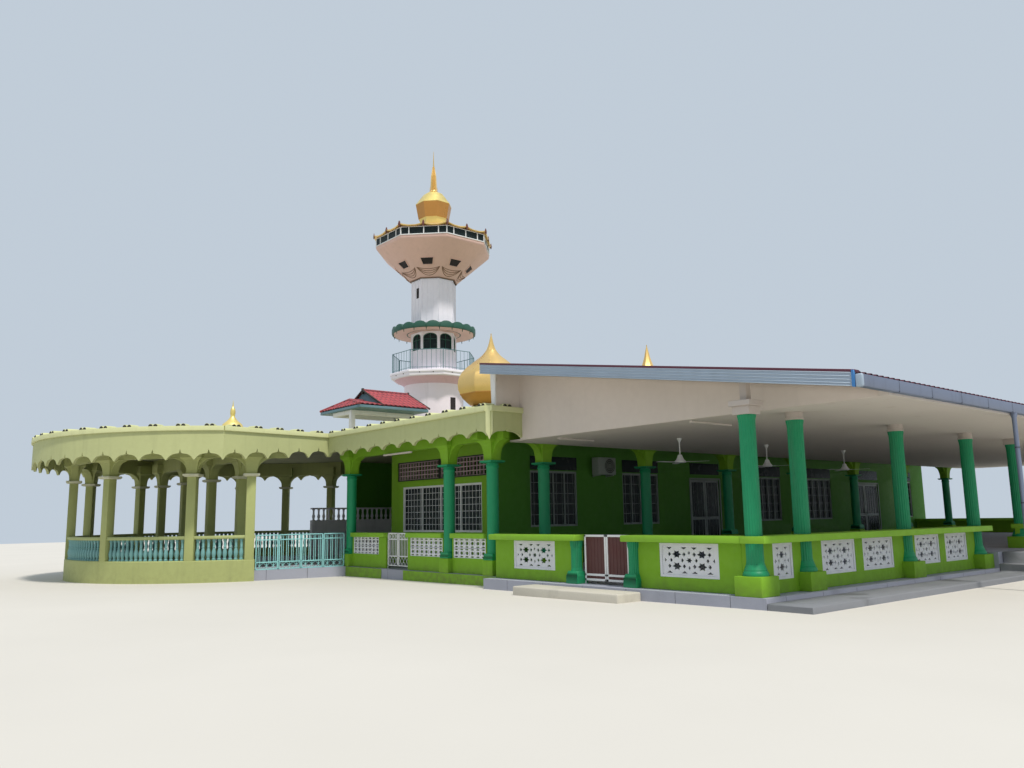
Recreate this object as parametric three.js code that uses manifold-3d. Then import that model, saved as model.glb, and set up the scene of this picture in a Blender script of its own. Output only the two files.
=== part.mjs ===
// Village mosque with a wide verandah, a scalloped canopy, a round porch, a prayer hall with two
// onion domes, a tiled lantern roof and an eight-sided minaret.
// Millimetres. +X runs right along the street front, +Y runs back from the street, +Z is up.
// In the plan, X = 0, Y = 0 is the near outer corner of the verandah's coping and Z = 0 is the ground
// there. At the end the whole plan is moved so that the origin is at the bottom centre.

import * as THREE from 'three';
import { mergeVertices } from 'three/addons/utils/BufferGeometryUtils.js';
import Module from 'manifold-3d';

const wasm = await Module();
wasm.setup();

// Driving dimensions

const GAP = 0.3; // between pieces that touch
const BASE = -200; // lowest ground that a wall or floor reaches
const FLOOR = 190; // verandah, canopy and porch floor
const RAISED = 570; // prayer hall and rear verandah floor
const RAISED_Y = 9750; // where the raised floor starts
const COPING_TOP = 1205;
const COPING_DEPTH = 125;
const COPING_BOTTOM = COPING_TOP - COPING_DEPTH;
const PEDESTAL_TOP = 530;

const SOFFIT = 3470; // underside of the verandah's flat ceiling
const SOFFIT_TOP = 3520;
const SLAB_BOTTOM = 3950; // the hall's flat concrete roof
const SLAB_TOP = 4200;

const BACK_Y = 29500; // rear face of the prayer hall
const HALL_RIGHT = -10300;
const HALL_LEFT = -22700;
const LEFT_WALL_FRONT = 4700;
const ROOM_LEFT = -15600;
const ROOM_FRONT = 2400;
const WALL = 150;

const EAVE_X = 1900; // low edge of the verandah roof
const RIDGE_X = -7560; // high edge of the verandah roof
const EAVE_TOP = 3770;
const RIDGE_TOP = 5310;
const ROOF_DEPTH = 180;
const VERANDAH_FRONT = -150;
const VERANDAH_BACK = 28900;
const GABLE_Y = 950;

const CANOPY_RIGHT = -7280;
const CANOPY_LEFT = -15300;
const CANOPY_FRONT = -100;
const FASCIA = 80; // thickness of the scalloped fascia
const FASCIA_LINE = 4110;
const FASCIA_TOP = 4260;
const CANOPY_TIP = 3530;
const CANOPY_RISE = 230; // from the tips to the top of the scallops
const PORCH_TIP = 3310;
const PORCH_RISE = 380;
const SCALLOP = 820; // pitch of the canopy's scallops
const PORCH_SCALLOP = 715;

const PORCH_X = -20630; // centre of the round porch
const PORCH_Y = -540;
const PORCH_ROOF = 6590;
const PORCH_WALL = 5500;
const PORCH_WALL_IN = 5210;
const PORCH_RING = 5360; // circle of the porch columns
const PORCH_WALL_TOP = 510;
const PORCH_FROM = 69.5; // degrees, from the street side towards the canopy
const PORCH_TO = -152;
const CAPITAL = 2940; // underside of the canopy's capitals
const PORCH_CAPITAL = 2900;

const TOWER_X = -24600;
const TOWER_Y = 10370;
const DRUM_RADIUS = 1420; // foot of the minaret

// Geometry to solid and back

function solidOf(geometry) {
  const plain = geometry.index ? geometry.toNonIndexed() : geometry.clone();
  plain.deleteAttribute('normal');
  plain.deleteAttribute('uv');
  const merged = mergeVertices(plain, 0.001);
  const vertProperties = new Float32Array(merged.attributes.position.array);
  const triVerts = new Uint32Array(merged.index.array);
  return new wasm.Manifold(new wasm.Mesh({ numProp: 3, vertProperties, triVerts }));
}

function geometryOf(solid) {
  const surface = solid.getMesh();
  const geometry = new THREE.BufferGeometry();
  geometry.setAttribute('position', new THREE.BufferAttribute(new Float32Array(surface.vertProperties), 3));
  geometry.setIndex(new THREE.BufferAttribute(new Uint32Array(surface.triVerts), 1));
  geometry.computeVertexNormals();
  return geometry;
}

function join(solids) {
  return solids.reduce((whole, solid) => whole.add(solid));
}

function cut(solid, tools) {
  return tools.reduce((rest, tool) => rest.subtract(tool), solid);
}

// Plain solids

function box(x0, x1, y0, y1, z0, z1) {
  const geometry = new THREE.BoxGeometry(x1 - x0, y1 - y0, z1 - z0);
  geometry.translate((x0 + x1) / 2, (y0 + y1) / 2, (z0 + z1) / 2);
  return solidOf(geometry);
}

function outline(points) {
  return new THREE.Shape(points.map(([a, b]) => new THREE.Vector2(a, b)));
}

function extruded(points, depth) {
  return new THREE.ExtrudeGeometry(outline(points), { depth, bevelEnabled: false, steps: 1 });
}

// Outline in plan, raised from z0 to z1.
function slab(points, z0, z1) {
  const geometry = extruded(points, z1 - z0);
  geometry.translate(0, 0, z0);
  return solidOf(geometry);
}

// Outline as x and z, running from y0 to y1.
function alongY(points, y0, y1) {
  const geometry = extruded(points, y1 - y0);
  geometry.rotateX(Math.PI / 2);
  geometry.translate(0, y1, 0);
  return solidOf(geometry);
}

// Outline as y and z, running from x0 to x1.
function alongX(points, x0, x1) {
  const geometry = extruded(points, x1 - x0);
  geometry.rotateX(Math.PI / 2);
  geometry.rotateZ(Math.PI / 2);
  geometry.translate(x0, 0, 0);
  return solidOf(geometry);
}

// Outline as radius and height, closed on the axis or on itself, turned about a vertical axis.
function turned(points, sides, x = 0, y = 0, quarterTurn = 0) {
  const profile = points.map(([r, z]) => new THREE.Vector2(r, z));
  const geometry = new THREE.LatheGeometry(profile, sides, quarterTurn, Math.PI * 2);
  geometry.rotateX(Math.PI / 2);
  geometry.translate(x, y, 0);
  return solidOf(geometry);
}

function polar(x, y, radius, degrees) {
  const angle = THREE.MathUtils.degToRad(degrees);
  return [x + radius * Math.sin(angle), y - radius * Math.cos(angle)];
}

// Points round an arc; overrun adds a short step past each end.
function arc(x, y, radius, from, to, steps, overrun = 0) {
  const angles = [];
  for (let i = 0; i <= steps; i += 1) {
    angles.push(from + (to - from) * i / steps);
  }
  if (overrun > 0) {
    const onward = Math.sign(to - from) * overrun;
    angles.unshift(from - onward);
    angles.push(to + onward);
  }
  return angles.map((degrees) => polar(x, y, radius, degrees));
}

// Curved wall between two radii about the round porch.
function porchBand(inner, outer, from, to, z0, z1, steps, overrun = 0) {
  const points = arc(PORCH_X, PORCH_Y, outer, to, from, steps, overrun)
    .concat(arc(PORCH_X, PORCH_Y, inner, from, to, steps, overrun));
  return slab(points, z0, z1);
}

// A solid made at the plan's zero point, turned by degrees and moved.
function placed(solid, x, y, degrees = 0) {
  return solid.rotate([0, 0, degrees]).translate([x, y, 0]);
}

// Finishes

function finish(colour, roughness, metalness = 0) {
  return new THREE.MeshStandardMaterial({ color: colour, roughness, metalness });
}

const lime = finish('#699617', 0.7);
const emerald = finish('#148c5c', 0.6);
const olive = finish('#a3aa72', 0.75);
const paleOlive = finish('#b9ba80', 0.75);
const concrete = finish('#8c8f92', 0.85);
const stepStone = finish('#c8c3b4', 0.85);
const beigeWhite = finish('#bfb6aa', 0.8);
const white = finish('#e4e4e0', 0.6);
const palePink = finish('#d9c9cf', 0.75);
const gold = finish('#dea948', 0.35, 0.6);
const redTile = finish('#c4505a', 0.7);
const sheetMetal = finish('#96a3b4', 0.5, 0.3);
const gutterMetal = finish('#65708a', 0.5, 0.3);
const brownSheet = finish('#4b2328', 0.55);
const tealPaint = finish('#82bebe', 0.5);
const darkGreen = finish('#285f4b', 0.6);
const glass = finish('#24302e', 0.15);

const site = new THREE.Group();

function part(group, name, solid, material) {
  const mesh = new THREE.Mesh(geometryOf(solid), material);
  mesh.name = name;
  group.add(mesh);
}

function region() {
  const group = new THREE.Group();
  site.add(group);
  return group;
}

// Ground works

const ground = region();
const PLINTH_LEFT = -7530; // corner where the verandah's floor steps forward

const verandahPlinth = box(PLINTH_LEFT, 50, -120, RAISED_Y, BASE, FLOOR);
const canopyPlinth = box(ROOM_LEFT, PLINTH_LEFT, 450, RAISED_Y, BASE, FLOOR);
const porchPlinth = box(HALL_LEFT, ROOM_LEFT, PORCH_Y, RAISED_Y, BASE, FLOOR);
const porchDisc = slab(arc(PORCH_X, PORCH_Y, PORCH_WALL_IN - GAP, 0, 352.5, 47), BASE, FLOOR);
const sillPlan = [[-17500, -2500], [-15580, -2500], [-15070, 450], [-15070, 700], [-17500, 700]];
const gateSill = slab(sillPlan, BASE, FLOOR);
const porchWallCut = porchBand(PORCH_WALL_IN - GAP, PORCH_WALL + GAP, PORCH_FROM + 1.6, PORCH_TO - 1.6,
  BASE - 10, FLOOR + 10, 42, 0.01);
part(ground, 'ground_floor', cut(
  join([verandahPlinth, canopyPlinth, porchPlinth, porchDisc, gateSill]), [porchWallCut]), concrete);

// The hall's plinth meets the minaret.
part(ground, 'raised_floor',
  box(TOWER_X + DRUM_RADIUS + GAP, 50, RAISED_Y + GAP, BACK_Y + 200, BASE, RAISED), concrete);

part(ground, 'gate_step', box(-5700, -2680, -780, -120 - GAP, BASE, 150), stepStone);

const apron = box(50 + GAP, 900, -120, RAISED_Y, BASE, 115);
const lowerStep = box(50 + GAP, 1150, RAISED_Y, 12200, BASE, 300);
const upperStep = box(50 + GAP, 600, RAISED_Y + 250, 12200, BASE, RAISED);
part(ground, 'side_apron_and_steps', join([apron, lowerStep, upperStep]), concrete);

// Verandah columns: fluted round shafts on square flared bases

const COLUMN_X = -330;
const COLUMN_RADIUS = 150;
const COLUMN_SIDES = 12;
const HEAD_BOTTOM = 3320;

function roofTop(x) {
  return RIDGE_TOP + (EAVE_TOP - RIDGE_TOP) * (x - RIDGE_X) / (EAVE_X - RIDGE_X);
}

function verandahColumn(y, bottom, top, grow = 0) {
  const radius = COLUMN_RADIUS + grow;
  const shaft = turned([[0, bottom - grow], [radius, bottom - grow], [radius, HEAD_BOTTOM - 90],
    [radius + 15, HEAD_BOTTOM], [0, HEAD_BOTTOM]], COLUMN_SIDES, COLUMN_X, y);
  const half = 220 + grow;
  const foot = box(COLUMN_X - half, COLUMN_X + half, y - half, y + half, bottom - grow, bottom + 65);
  const waist = 190 + grow;
  const block = box(COLUMN_X - waist, COLUMN_X + waist, y - waist, y + waist, bottom, bottom + 190);
  const head = box(COLUMN_X - 165, COLUMN_X + 165, y - 165, y + 165, HEAD_BOTTOM - 1, top);
  return join([shaft, foot, block, head]);
}

const verandah = region();
const columnYs = [195, 1750, 5800, 9480];
const underRoof = roofTop(COLUMN_X + 165) - ROOF_DEPTH - GAP;
const columnTops = columnYs.map((y) => (y < GABLE_Y ? underRoof : SOFFIT - GAP));

columnYs.forEach((y, i) => {
  part(verandah, `verandah_column_${i + 1}`, verandahColumn(y, PEDESTAL_TOP + GAP, columnTops[i]), emerald);
});

// Low walls with pierced screens under a wide coping

const SCREEN_BOTTOM = 430;
const SCREEN_TOP = 1060;
const SCREEN_DEPTH = 60;

// A pierced screen's holes, in two rows along a run from a to b.
function screenHoles(a, b, place) {
  const count = Math.max(2, Math.round((b - a) / 420));
  const pitch = (b - a) / count;
  const holes = [];
  for (let i = 0; i < count; i += 1) {
    for (const z of [SCREEN_BOTTOM + 160, SCREEN_TOP - 160]) {
      holes.push(place(a + pitch * (i + 0.5), z));
    }
  }
  return holes;
}

// Low wall along X: its outer face at y, with screens between the pairs given.
function wallAlongX(x0, x1, y, bottom, screens) {
  const wall = box(x0, x1, y, y + 120, bottom, COPING_BOTTOM + 1);
  const tools = screens.flatMap(([a, b]) => [
    box(a, b, y - 1, y + 30, SCREEN_BOTTOM, SCREEN_TOP),
    box(a, b, y + 30 + SCREEN_DEPTH, y + 121, SCREEN_BOTTOM, SCREEN_TOP),
    ...screenHoles(a, b, (x, z) => box(x - 75, x + 75, y - 5, y + 125, z - 75, z + 75)),
  ]);
  return cut(wall, tools);
}

// Low wall along Y: its outer face at x, looking towards +X.
function wallAlongY(y0, y1, x, bottom, screens) {
  const wall = box(x - 120, x, y0, y1, bottom, COPING_BOTTOM + 1);
  const tools = screens.flatMap(([a, b]) => [
    box(x - 30, x + 1, a, b, SCREEN_BOTTOM, SCREEN_TOP),
    box(x - 121, x - 30 - SCREEN_DEPTH, a, b, SCREEN_BOTTOM, SCREEN_TOP),
    ...screenHoles(a, b, (y, z) => box(x - 125, x + 5, y - 75, y + 75, z - 75, z + 75)),
  ]);
  return cut(wall, tools);
}

const FRONT_WALL_Y = 220;
const SIDE_WALL_X = -300;
const COPING_WIDTH = 500;
const onFloor = FLOOR + GAP;
const GATE_LEFT = -4600;
const GATE_RIGHT = -3290;

function columnSockets() {
  return columnYs.map((y, i) => verandahColumn(y, PEDESTAL_TOP + GAP, columnTops[i], GAP));
}

const sideScreens = [[700, 1340], [2330, 3590], [3890, 5180], [6190, 7400], [7700, 8890]];
const sidePedestals = columnYs
  .map((y) => box(COLUMN_X - 290, COLUMN_X + 300, y - 245, y + 245, onFloor, PEDESTAL_TOP));
const sideParapet = cut(join([
  wallAlongY(FRONT_WALL_Y, 9700, SIDE_WALL_X, onFloor, sideScreens),
  box(-620, -420, FRONT_WALL_Y, FRONT_WALL_Y + 120, onFloor, COPING_BOTTOM - GAP),
  box(-COPING_WIDTH, 0, 0, 9720, COPING_BOTTOM, COPING_TOP),
  ...sidePedestals,
]), columnSockets());
part(verandah, 'side_parapet', sideParapet, lime);

const gatePostHalf = 120;
function gatePost(x) {
  return join([
    box(x - gatePostHalf, x + gatePostHalf, 90, 370, onFloor, COPING_BOTTOM + 1),
    box(x - gatePostHalf - 40, x + gatePostHalf + 40, 50, 410, onFloor, onFloor + 260),
  ]);
}

const rightParapet = join([
  wallAlongX(GATE_RIGHT + 80, -620 - GAP, FRONT_WALL_Y, onFloor, [[-2480, -1110]]),
  gatePost(GATE_RIGHT + gatePostHalf + 40),
  box(GATE_RIGHT, -COPING_WIDTH - GAP, 0, COPING_WIDTH, COPING_BOTTOM, COPING_TOP),
]);
part(verandah, 'front_parapet_right', rightParapet, lime);

const CANOPY_ROW = 650; // line of the canopy's front columns
const CORNER_X = -8100;
const PEDESTAL_HALF = 200;
const CORNER_FACE = CORNER_X + PEDESTAL_HALF + GAP;
const JOG_X = -7480; // where the verandah's front wall steps back to the canopy's
const leftParapet = join([
  wallAlongX(JOG_X, GATE_LEFT - 80, FRONT_WALL_Y, onFloor, [[-6820, -5430]]),
  gatePost(GATE_LEFT - gatePostHalf - 40),
  box(JOG_X, GATE_LEFT, 0, COPING_WIDTH, COPING_BOTTOM, COPING_TOP),
  box(JOG_X, JOG_X + 120, FRONT_WALL_Y, CANOPY_ROW + 60, onFloor, COPING_BOTTOM + 1),
  box(CORNER_FACE, JOG_X + 1, CANOPY_ROW - 60, CANOPY_ROW + 60, onFloor, COPING_BOTTOM + 1),
  box(CORNER_FACE, JOG_X + 150, COPING_WIDTH - 1, CANOPY_ROW + 150, COPING_BOTTOM, COPING_TOP),
]);
part(verandah, 'front_parapet_left', leftParapet, lime);

const rearScreens = [14400, 19600, 24800].map((y) => [y, y + 1250]);
const rearColumnYs = [12500, 17600, 22800, 28000];
const onRaised = RAISED + GAP;
const REAR_RAIL_Y = 12300;
const rearWall = cut(
  box(SIDE_WALL_X - 120, SIDE_WALL_X, REAR_RAIL_Y, 28600, onRaised, COPING_BOTTOM + 1),
  rearScreens.flatMap(([a, b]) => screenHoles(a, b, (y, z) => box(-425, -295, y - 75, y + 75,
    (z + COPING_BOTTOM) / 2 - 60, (z + COPING_BOTTOM) / 2 + 60))),
);
const rearColumns = rearColumnYs.map((y) => verandahColumn(y, RAISED + 300, SOFFIT - GAP)
  .add(box(COLUMN_X - 290, COLUMN_X + 290, y - 245, y + 245, onRaised, RAISED + 300)));
part(verandah, 'rear_parapet', join([
  rearWall,
  box(-COPING_WIDTH, 0, REAR_RAIL_Y, 28700, COPING_BOTTOM, COPING_TOP),
  box(HALL_RIGHT + GAP, -400, 28480, 28600, onRaised, COPING_BOTTOM + 1),
  box(HALL_RIGHT + GAP, -400, 28300, 28700, COPING_BOTTOM, COPING_TOP),
  ...rearColumns,
]), lime);

// Brown sheet gate in the front wall, two leaves on floor pivots

const LEAF = 40; // thickness of every swinging leaf
const PIVOT = 30; // from the post to the pivot
const PIN = 12;

// A leaf along X from its pivot: direction +1 runs to the right, -1 to the left.
function leafAlongX(pivotX, y, reach, direction, z0, z1, floor) {
  const [x0, x1] = direction > 0 ? [pivotX, pivotX + reach] : [pivotX - reach, pivotX];
  const panel = box(x0, x1, y - LEAF / 2, y + LEAF / 2, z0, z1);
  return panel.add(turned([[0, floor + GAP], [PIN, floor + GAP], [PIN, z0 + 20], [0, z0 + 20]], 12, pivotX, y));
}

const GATE_Y = 300;
const gateMiddle = (GATE_LEFT + GATE_RIGHT) / 2;
const gateReach = gateMiddle - GATE_LEFT - PIVOT - 6;
part(verandah, 'front_gate_left_leaf',
  leafAlongX(GATE_LEFT + PIVOT, GATE_Y, gateReach, 1, FLOOR + 70, COPING_TOP, FLOOR), brownSheet);
part(verandah, 'front_gate_right_leaf',
  leafAlongX(GATE_RIGHT - PIVOT, GATE_Y, gateReach, -1, FLOOR + 70, COPING_TOP, FLOOR), brownSheet);

// Verandah roof, ceiling, gable walls and gutter

function roofProfile(x0, x1, above, below) {
  return [[x0, roofTop(x0) - below], [x1, roofTop(x1) - below],
    [x1, roofTop(x1) + above], [x0, roofTop(x0) + above]];
}

const STRIP = 25;
const roofFront = VERANDAH_FRONT + STRIP + GAP;
part(verandah, 'verandah_roof',
  alongY(roofProfile(RIDGE_X, EAVE_X - GAP, 0, ROOF_DEPTH), roofFront, VERANDAH_BACK), sheetMetal);
part(verandah, 'roof_front_strip',
  alongY(roofProfile(RIDGE_X, EAVE_X - GAP, 15, 255), VERANDAH_FRONT, VERANDAH_FRONT + STRIP), sheetMetal);

const FAN_X = -4950;
const fanYs = [4100, 7900, 12100];
const ROD_BOTTOM = 3060;
const CEILING_BACK = 28600;
const GABLE_BACK_FACE = GABLE_Y + 120;
const ceiling = box(-7900, EAVE_X - 180, GABLE_BACK_FACE + GAP, CEILING_BACK, SOFFIT, SOFFIT_TOP);
const rods = fanYs.map((y) => turned([[0, ROD_BOTTOM], [14, ROD_BOTTOM], [14, SOFFIT - 90],
  [60, SOFFIT - 60], [60, SOFFIT + 1], [0, SOFFIT + 1]], 12, FAN_X, y));
part(verandah, 'verandah_ceiling', join([ceiling, ...rods]), beigeWhite);

const HIGH_WALL_LEFT = -7500;
const HIGH_WALL_RIGHT = -7380;
const SLAB_EDGE = CANOPY_RIGHT - FASCIA;
const gableRight = EAVE_X - 170;
const under = ROOF_DEPTH + GAP;
const gableOutline = [
  [SLAB_EDGE + GAP, SOFFIT], [gableRight, SOFFIT], [gableRight, roofTop(gableRight) - under],
  [HIGH_WALL_LEFT, roofTop(HIGH_WALL_LEFT) - under], [HIGH_WALL_LEFT, SLAB_TOP + GAP],
  [SLAB_EDGE + GAP, SLAB_TOP + GAP],
];
const highWall = [
  [HIGH_WALL_LEFT, SLAB_TOP + GAP], [HIGH_WALL_RIGHT, SLAB_TOP + GAP],
  [HIGH_WALL_RIGHT, roofTop(HIGH_WALL_RIGHT) - under], [HIGH_WALL_LEFT, roofTop(HIGH_WALL_LEFT) - under],
];
part(verandah, 'gable_walls', join([
  alongY(gableOutline, GABLE_Y, GABLE_BACK_FACE),
  alongY(highWall, 200, CEILING_BACK + 100),
  alongY(gableOutline, CEILING_BACK + GAP, CEILING_BACK + 120),
]), beigeWhite);

const GUTTER_BOTTOM = 3510;
const gutterBox = box(EAVE_X, EAVE_X + 120, VERANDAH_FRONT, VERANDAH_BACK, GUTTER_BOTTOM, EAVE_TOP);
const gutterHollow = box(EAVE_X + 12, EAVE_X + 108, VERANDAH_FRONT + 12, VERANDAH_BACK - 12,
  GUTTER_BOTTOM + 12, EAVE_TOP + 1);
const PIPE_X = EAVE_X + 60;
const pipes = [6100, 24000].map((y) => turned([[0, BASE], [45, BASE], [45, GUTTER_BOTTOM + 5],
  [0, GUTTER_BOTTOM + 5]], 12, PIPE_X, y));
part(verandah, 'gutter_and_downpipes', join([cut(gutterBox, [gutterHollow]), ...pipes]), gutterMetal);

// Ceiling fans

function fanRotor(y) {
  const top = ROD_BOTTOM - GAP;
  const hub = turned([[0, top - 150], [150, top - 150], [150, top - 115], [60, top - 60], [25, top], [0, top]],
    10, FAN_X, y);
  const blade = box(100, 720, -65, 65, top - 138, top - 128);
  return join([hub, ...[20, 140, 260].map((degrees) => placed(blade, FAN_X, y, degrees))]);
}

fanYs.forEach((y, i) => part(verandah, `fan_rotor_${i + 1}`, fanRotor(y), white));

// Canopy and hall arcade: round columns, capitals and quarter-round haunches under a beam

const hall = region();
const flatten = Math.PI / 8; // turns an eight-sided shape so that its flats face the axes
const ROUND = 150;
const BEAM_BOTTOM = 3500;
const HAUNCH = 430;
const BEAM_HALF = 110;

// Haunch outline on one line: the beam's underside curves down to the column at u.
function haunch(u, half, springing, beamBottom, reach) {
  const steps = 4;
  const points = [];
  for (let i = 0; i <= steps; i += 1) {
    const angle = Math.PI / 2 * i / steps;
    const out = reach * (1 - Math.cos(angle));
    points.push([u + half + out, springing + (beamBottom - springing) * Math.sin(angle)]);
  }
  points.push([u + half + reach, beamBottom + 10]);
  const mirrored = points.map(([a, z]) => [2 * u - a, z]).reverse();
  return mirrored.concat(points);
}

function canopyColumn(x, y, bottom) {
  return join([
    turned([[0, bottom], [ROUND, bottom], [ROUND, CAPITAL + 1], [0, CAPITAL + 1]], 8, x, y, flatten),
    box(x - 230, x + 230, y - 230, y + 230, CAPITAL, CAPITAL + 60),
    box(x - 180, x + 180, y - 180, y + 180, bottom, bottom + 60),
  ]);
}

const frontRow = [-15130, -9940, CORNER_X];
const sideRow = [2380, 6420, 10420, 14500, 18600, 22700, 26800];
const CANOPY_PEDESTAL = 560;
function pedestalled(x, y, floor) {
  const top = floor + CANOPY_PEDESTAL - FLOOR;
  const half = PEDESTAL_HALF;
  return canopyColumn(x, y, top).add(box(x - half, x + half, y - half, y + half, floor + GAP, top));
}
const springing = CAPITAL + 59;
const beamTop = SLAB_BOTTOM - GAP;
part(hall, 'hall_arcade', join([
  ...frontRow.map((x) => pedestalled(x, CANOPY_ROW, FLOOR)),
  ...frontRow.map((x) => alongY(haunch(x, 160, springing, BEAM_BOTTOM, HAUNCH),
    CANOPY_ROW - BEAM_HALF, CANOPY_ROW + BEAM_HALF)),
  box(-15290, CORNER_X + 560, CANOPY_ROW - BEAM_HALF, CANOPY_ROW + BEAM_HALF, BEAM_BOTTOM, beamTop),
  ...sideRow.map((y) => pedestalled(CORNER_X, y, y < RAISED_Y ? FLOOR : RAISED)),
  ...[CANOPY_ROW, ...sideRow].map((y) => alongX(haunch(y, 160, springing, BEAM_BOTTOM, HAUNCH),
    CORNER_X - BEAM_HALF, CORNER_X + BEAM_HALF)),
  box(CORNER_X - BEAM_HALF, CORNER_X + BEAM_HALF, CANOPY_ROW - 560, 28500, BEAM_BOTTOM, beamTop),
]), emerald);

// Low wall of the canopy, with breeze-block screens and a small white gate

const SMALL_GATE_LEFT = -13000;
const SMALL_GATE_RIGHT = -11850;
function canopyWall(x0, x1, screens) {
  return join([
    wallAlongX(x0, x1, CANOPY_ROW - 60, onFloor, screens),
    box(x0, x1, CANOPY_ROW - 150, CANOPY_ROW + 150, COPING_BOTTOM, COPING_TOP),
  ]);
}
part(hall, 'canopy_parapet_left',
  canopyWall(frontRow[0] + PEDESTAL_HALF + GAP, SMALL_GATE_LEFT, [[-14750, -13450]]), lime);
part(hall, 'canopy_parapet_middle',
  canopyWall(SMALL_GATE_RIGHT, frontRow[1] - PEDESTAL_HALF - GAP, [[-11650, -10350]]), lime);
part(hall, 'canopy_parapet_right',
  canopyWall(frontRow[1] + PEDESTAL_HALF + GAP, CORNER_X - PEDESTAL_HALF - GAP, [[-9620, -8420]]), lime);

const smallMiddle = (SMALL_GATE_LEFT + SMALL_GATE_RIGHT) / 2;
const smallReach = smallMiddle - SMALL_GATE_LEFT - PIVOT - 6;
function railGate(pivotX, direction) {
  const leaf = leafAlongX(pivotX, CANOPY_ROW, smallReach, direction, FLOOR + 80, COPING_TOP, FLOOR);
  const slots = [];
  for (let i = 0; i < 4; i += 1) {
    const near = pivotX + direction * (60 + i * 118);
    const far = near + direction * 80;
    for (const [z0, z1] of [[FLOOR + 140, FLOOR + 290], [FLOOR + 330, COPING_TOP - 60]]) {
      slots.push(box(Math.min(near, far), Math.max(near, far), CANOPY_ROW - 30, CANOPY_ROW + 30, z0, z1));
    }
  }
  return cut(leaf, slots);
}
part(hall, 'small_gate_left_leaf', railGate(SMALL_GATE_LEFT + PIVOT, 1), white);
part(hall, 'small_gate_right_leaf', railGate(SMALL_GATE_RIGHT - PIVOT, -1), white);

// Hall walls

const wallTop = SLAB_BOTTOM - GAP;
const VENT = [-15250, -10560];
part(hall, 'hall_front_wall', cut(
  box(ROOM_LEFT, HALL_RIGHT, ROOM_FRONT, ROOM_FRONT + WALL, onFloor, wallTop),
  [box(-14920, -10780, ROOM_FRONT - 1, ROOM_FRONT + WALL + 1, 1180, 2600),
    box(...VENT, ROOM_FRONT - 1, ROOM_FRONT + WALL + 1, 2790, 3410)]), lime);

function ventBlocks([a, b]) {
  const panel = box(a + GAP, b - GAP, ROOM_FRONT + 40, ROOM_FRONT + 110, 2790 + GAP, 3410 - GAP);
  const holes = [];
  for (let i = 0; i < 8; i += 1) {
    const x = a + (b - a) * (i + 0.5) / 8;
    holes.push(box(x - 150, x + 150, ROOM_FRONT, ROOM_FRONT + 150, 2860, 3070));
    holes.push(box(x - 150, x + 150, ROOM_FRONT, ROOM_FRONT + 150, 3130, 3340));
  }
  return cut(panel, holes);
}
part(hall, 'vent_screen', ventBlocks(VENT), palePink);

const WINDOW_BOTTOM = 1300;
const WINDOW_TOP = 2950;
const DOOR_TOP = RAISED + 2230;
const sideWindows = [[3840, 5760], [7830, 9610], [15300, 17000], [18900, 20800], [26600, 28200]];
const doorways = [[11330, 13000], [22500, 24900]];
const sideWallPlan = [
  [ROOM_FRONT + WALL + GAP, onFloor], [RAISED_Y, onFloor], [RAISED_Y, onRaised], [BACK_Y, onRaised],
  [BACK_Y, wallTop], [ROOM_FRONT + WALL + GAP, wallTop],
];
part(hall, 'hall_side_wall', cut(alongX(sideWallPlan, HALL_RIGHT - WALL, HALL_RIGHT), [
  ...sideWindows.map(([a, b]) => box(HALL_RIGHT - WALL - 1, HALL_RIGHT + 1, a, b, WINDOW_BOTTOM, WINDOW_TOP)),
  ...doorways.map(([a, b]) => box(HALL_RIGHT - WALL - 1, HALL_RIGHT + 1, a, b, RAISED, DOOR_TOP)),
]), lime);

const leftWindows = [12800, 16200, 19600, 23000, 26400].map((y) => [y, y + 1700]);
const backWindows = [-21200, -18100, -15000, -12700].map((x) => [x, x + 1600]);
const innerRight = HALL_RIGHT - WALL - GAP;
part(hall, 'prayer_hall_walls', cut(join([
  box(ROOM_LEFT, ROOM_LEFT + WALL, ROOM_FRONT + WALL + GAP, RAISED_Y, onFloor, wallTop),
  box(HALL_LEFT, HALL_LEFT + WALL, LEFT_WALL_FRONT, RAISED_Y, onFloor, wallTop),
  box(HALL_LEFT, ROOM_LEFT + WALL, RAISED_Y - 10, RAISED_Y + WALL, onRaised, wallTop),
  box(HALL_LEFT, HALL_LEFT + WALL, RAISED_Y + GAP, BACK_Y, onRaised, wallTop),
  box(HALL_LEFT, innerRight, BACK_Y - WALL, BACK_Y, onRaised, wallTop),
]), [
  box(ROOM_LEFT - 1, ROOM_LEFT + WALL + 1, 5000, 6800, WINDOW_BOTTOM, WINDOW_TOP),
  box(-19900, -18100, RAISED_Y - 11, RAISED_Y + WALL + 1, RAISED, DOOR_TOP),
  ...leftWindows.map(([a, b]) => box(HALL_LEFT - 1, HALL_LEFT + WALL + 1, a, b, WINDOW_BOTTOM, WINDOW_TOP)),
  ...backWindows.map(([a, b]) => box(a, b, BACK_Y - WALL - 1, BACK_Y + 1, WINDOW_BOTTOM, WINDOW_TOP)),
]), lime);

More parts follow.
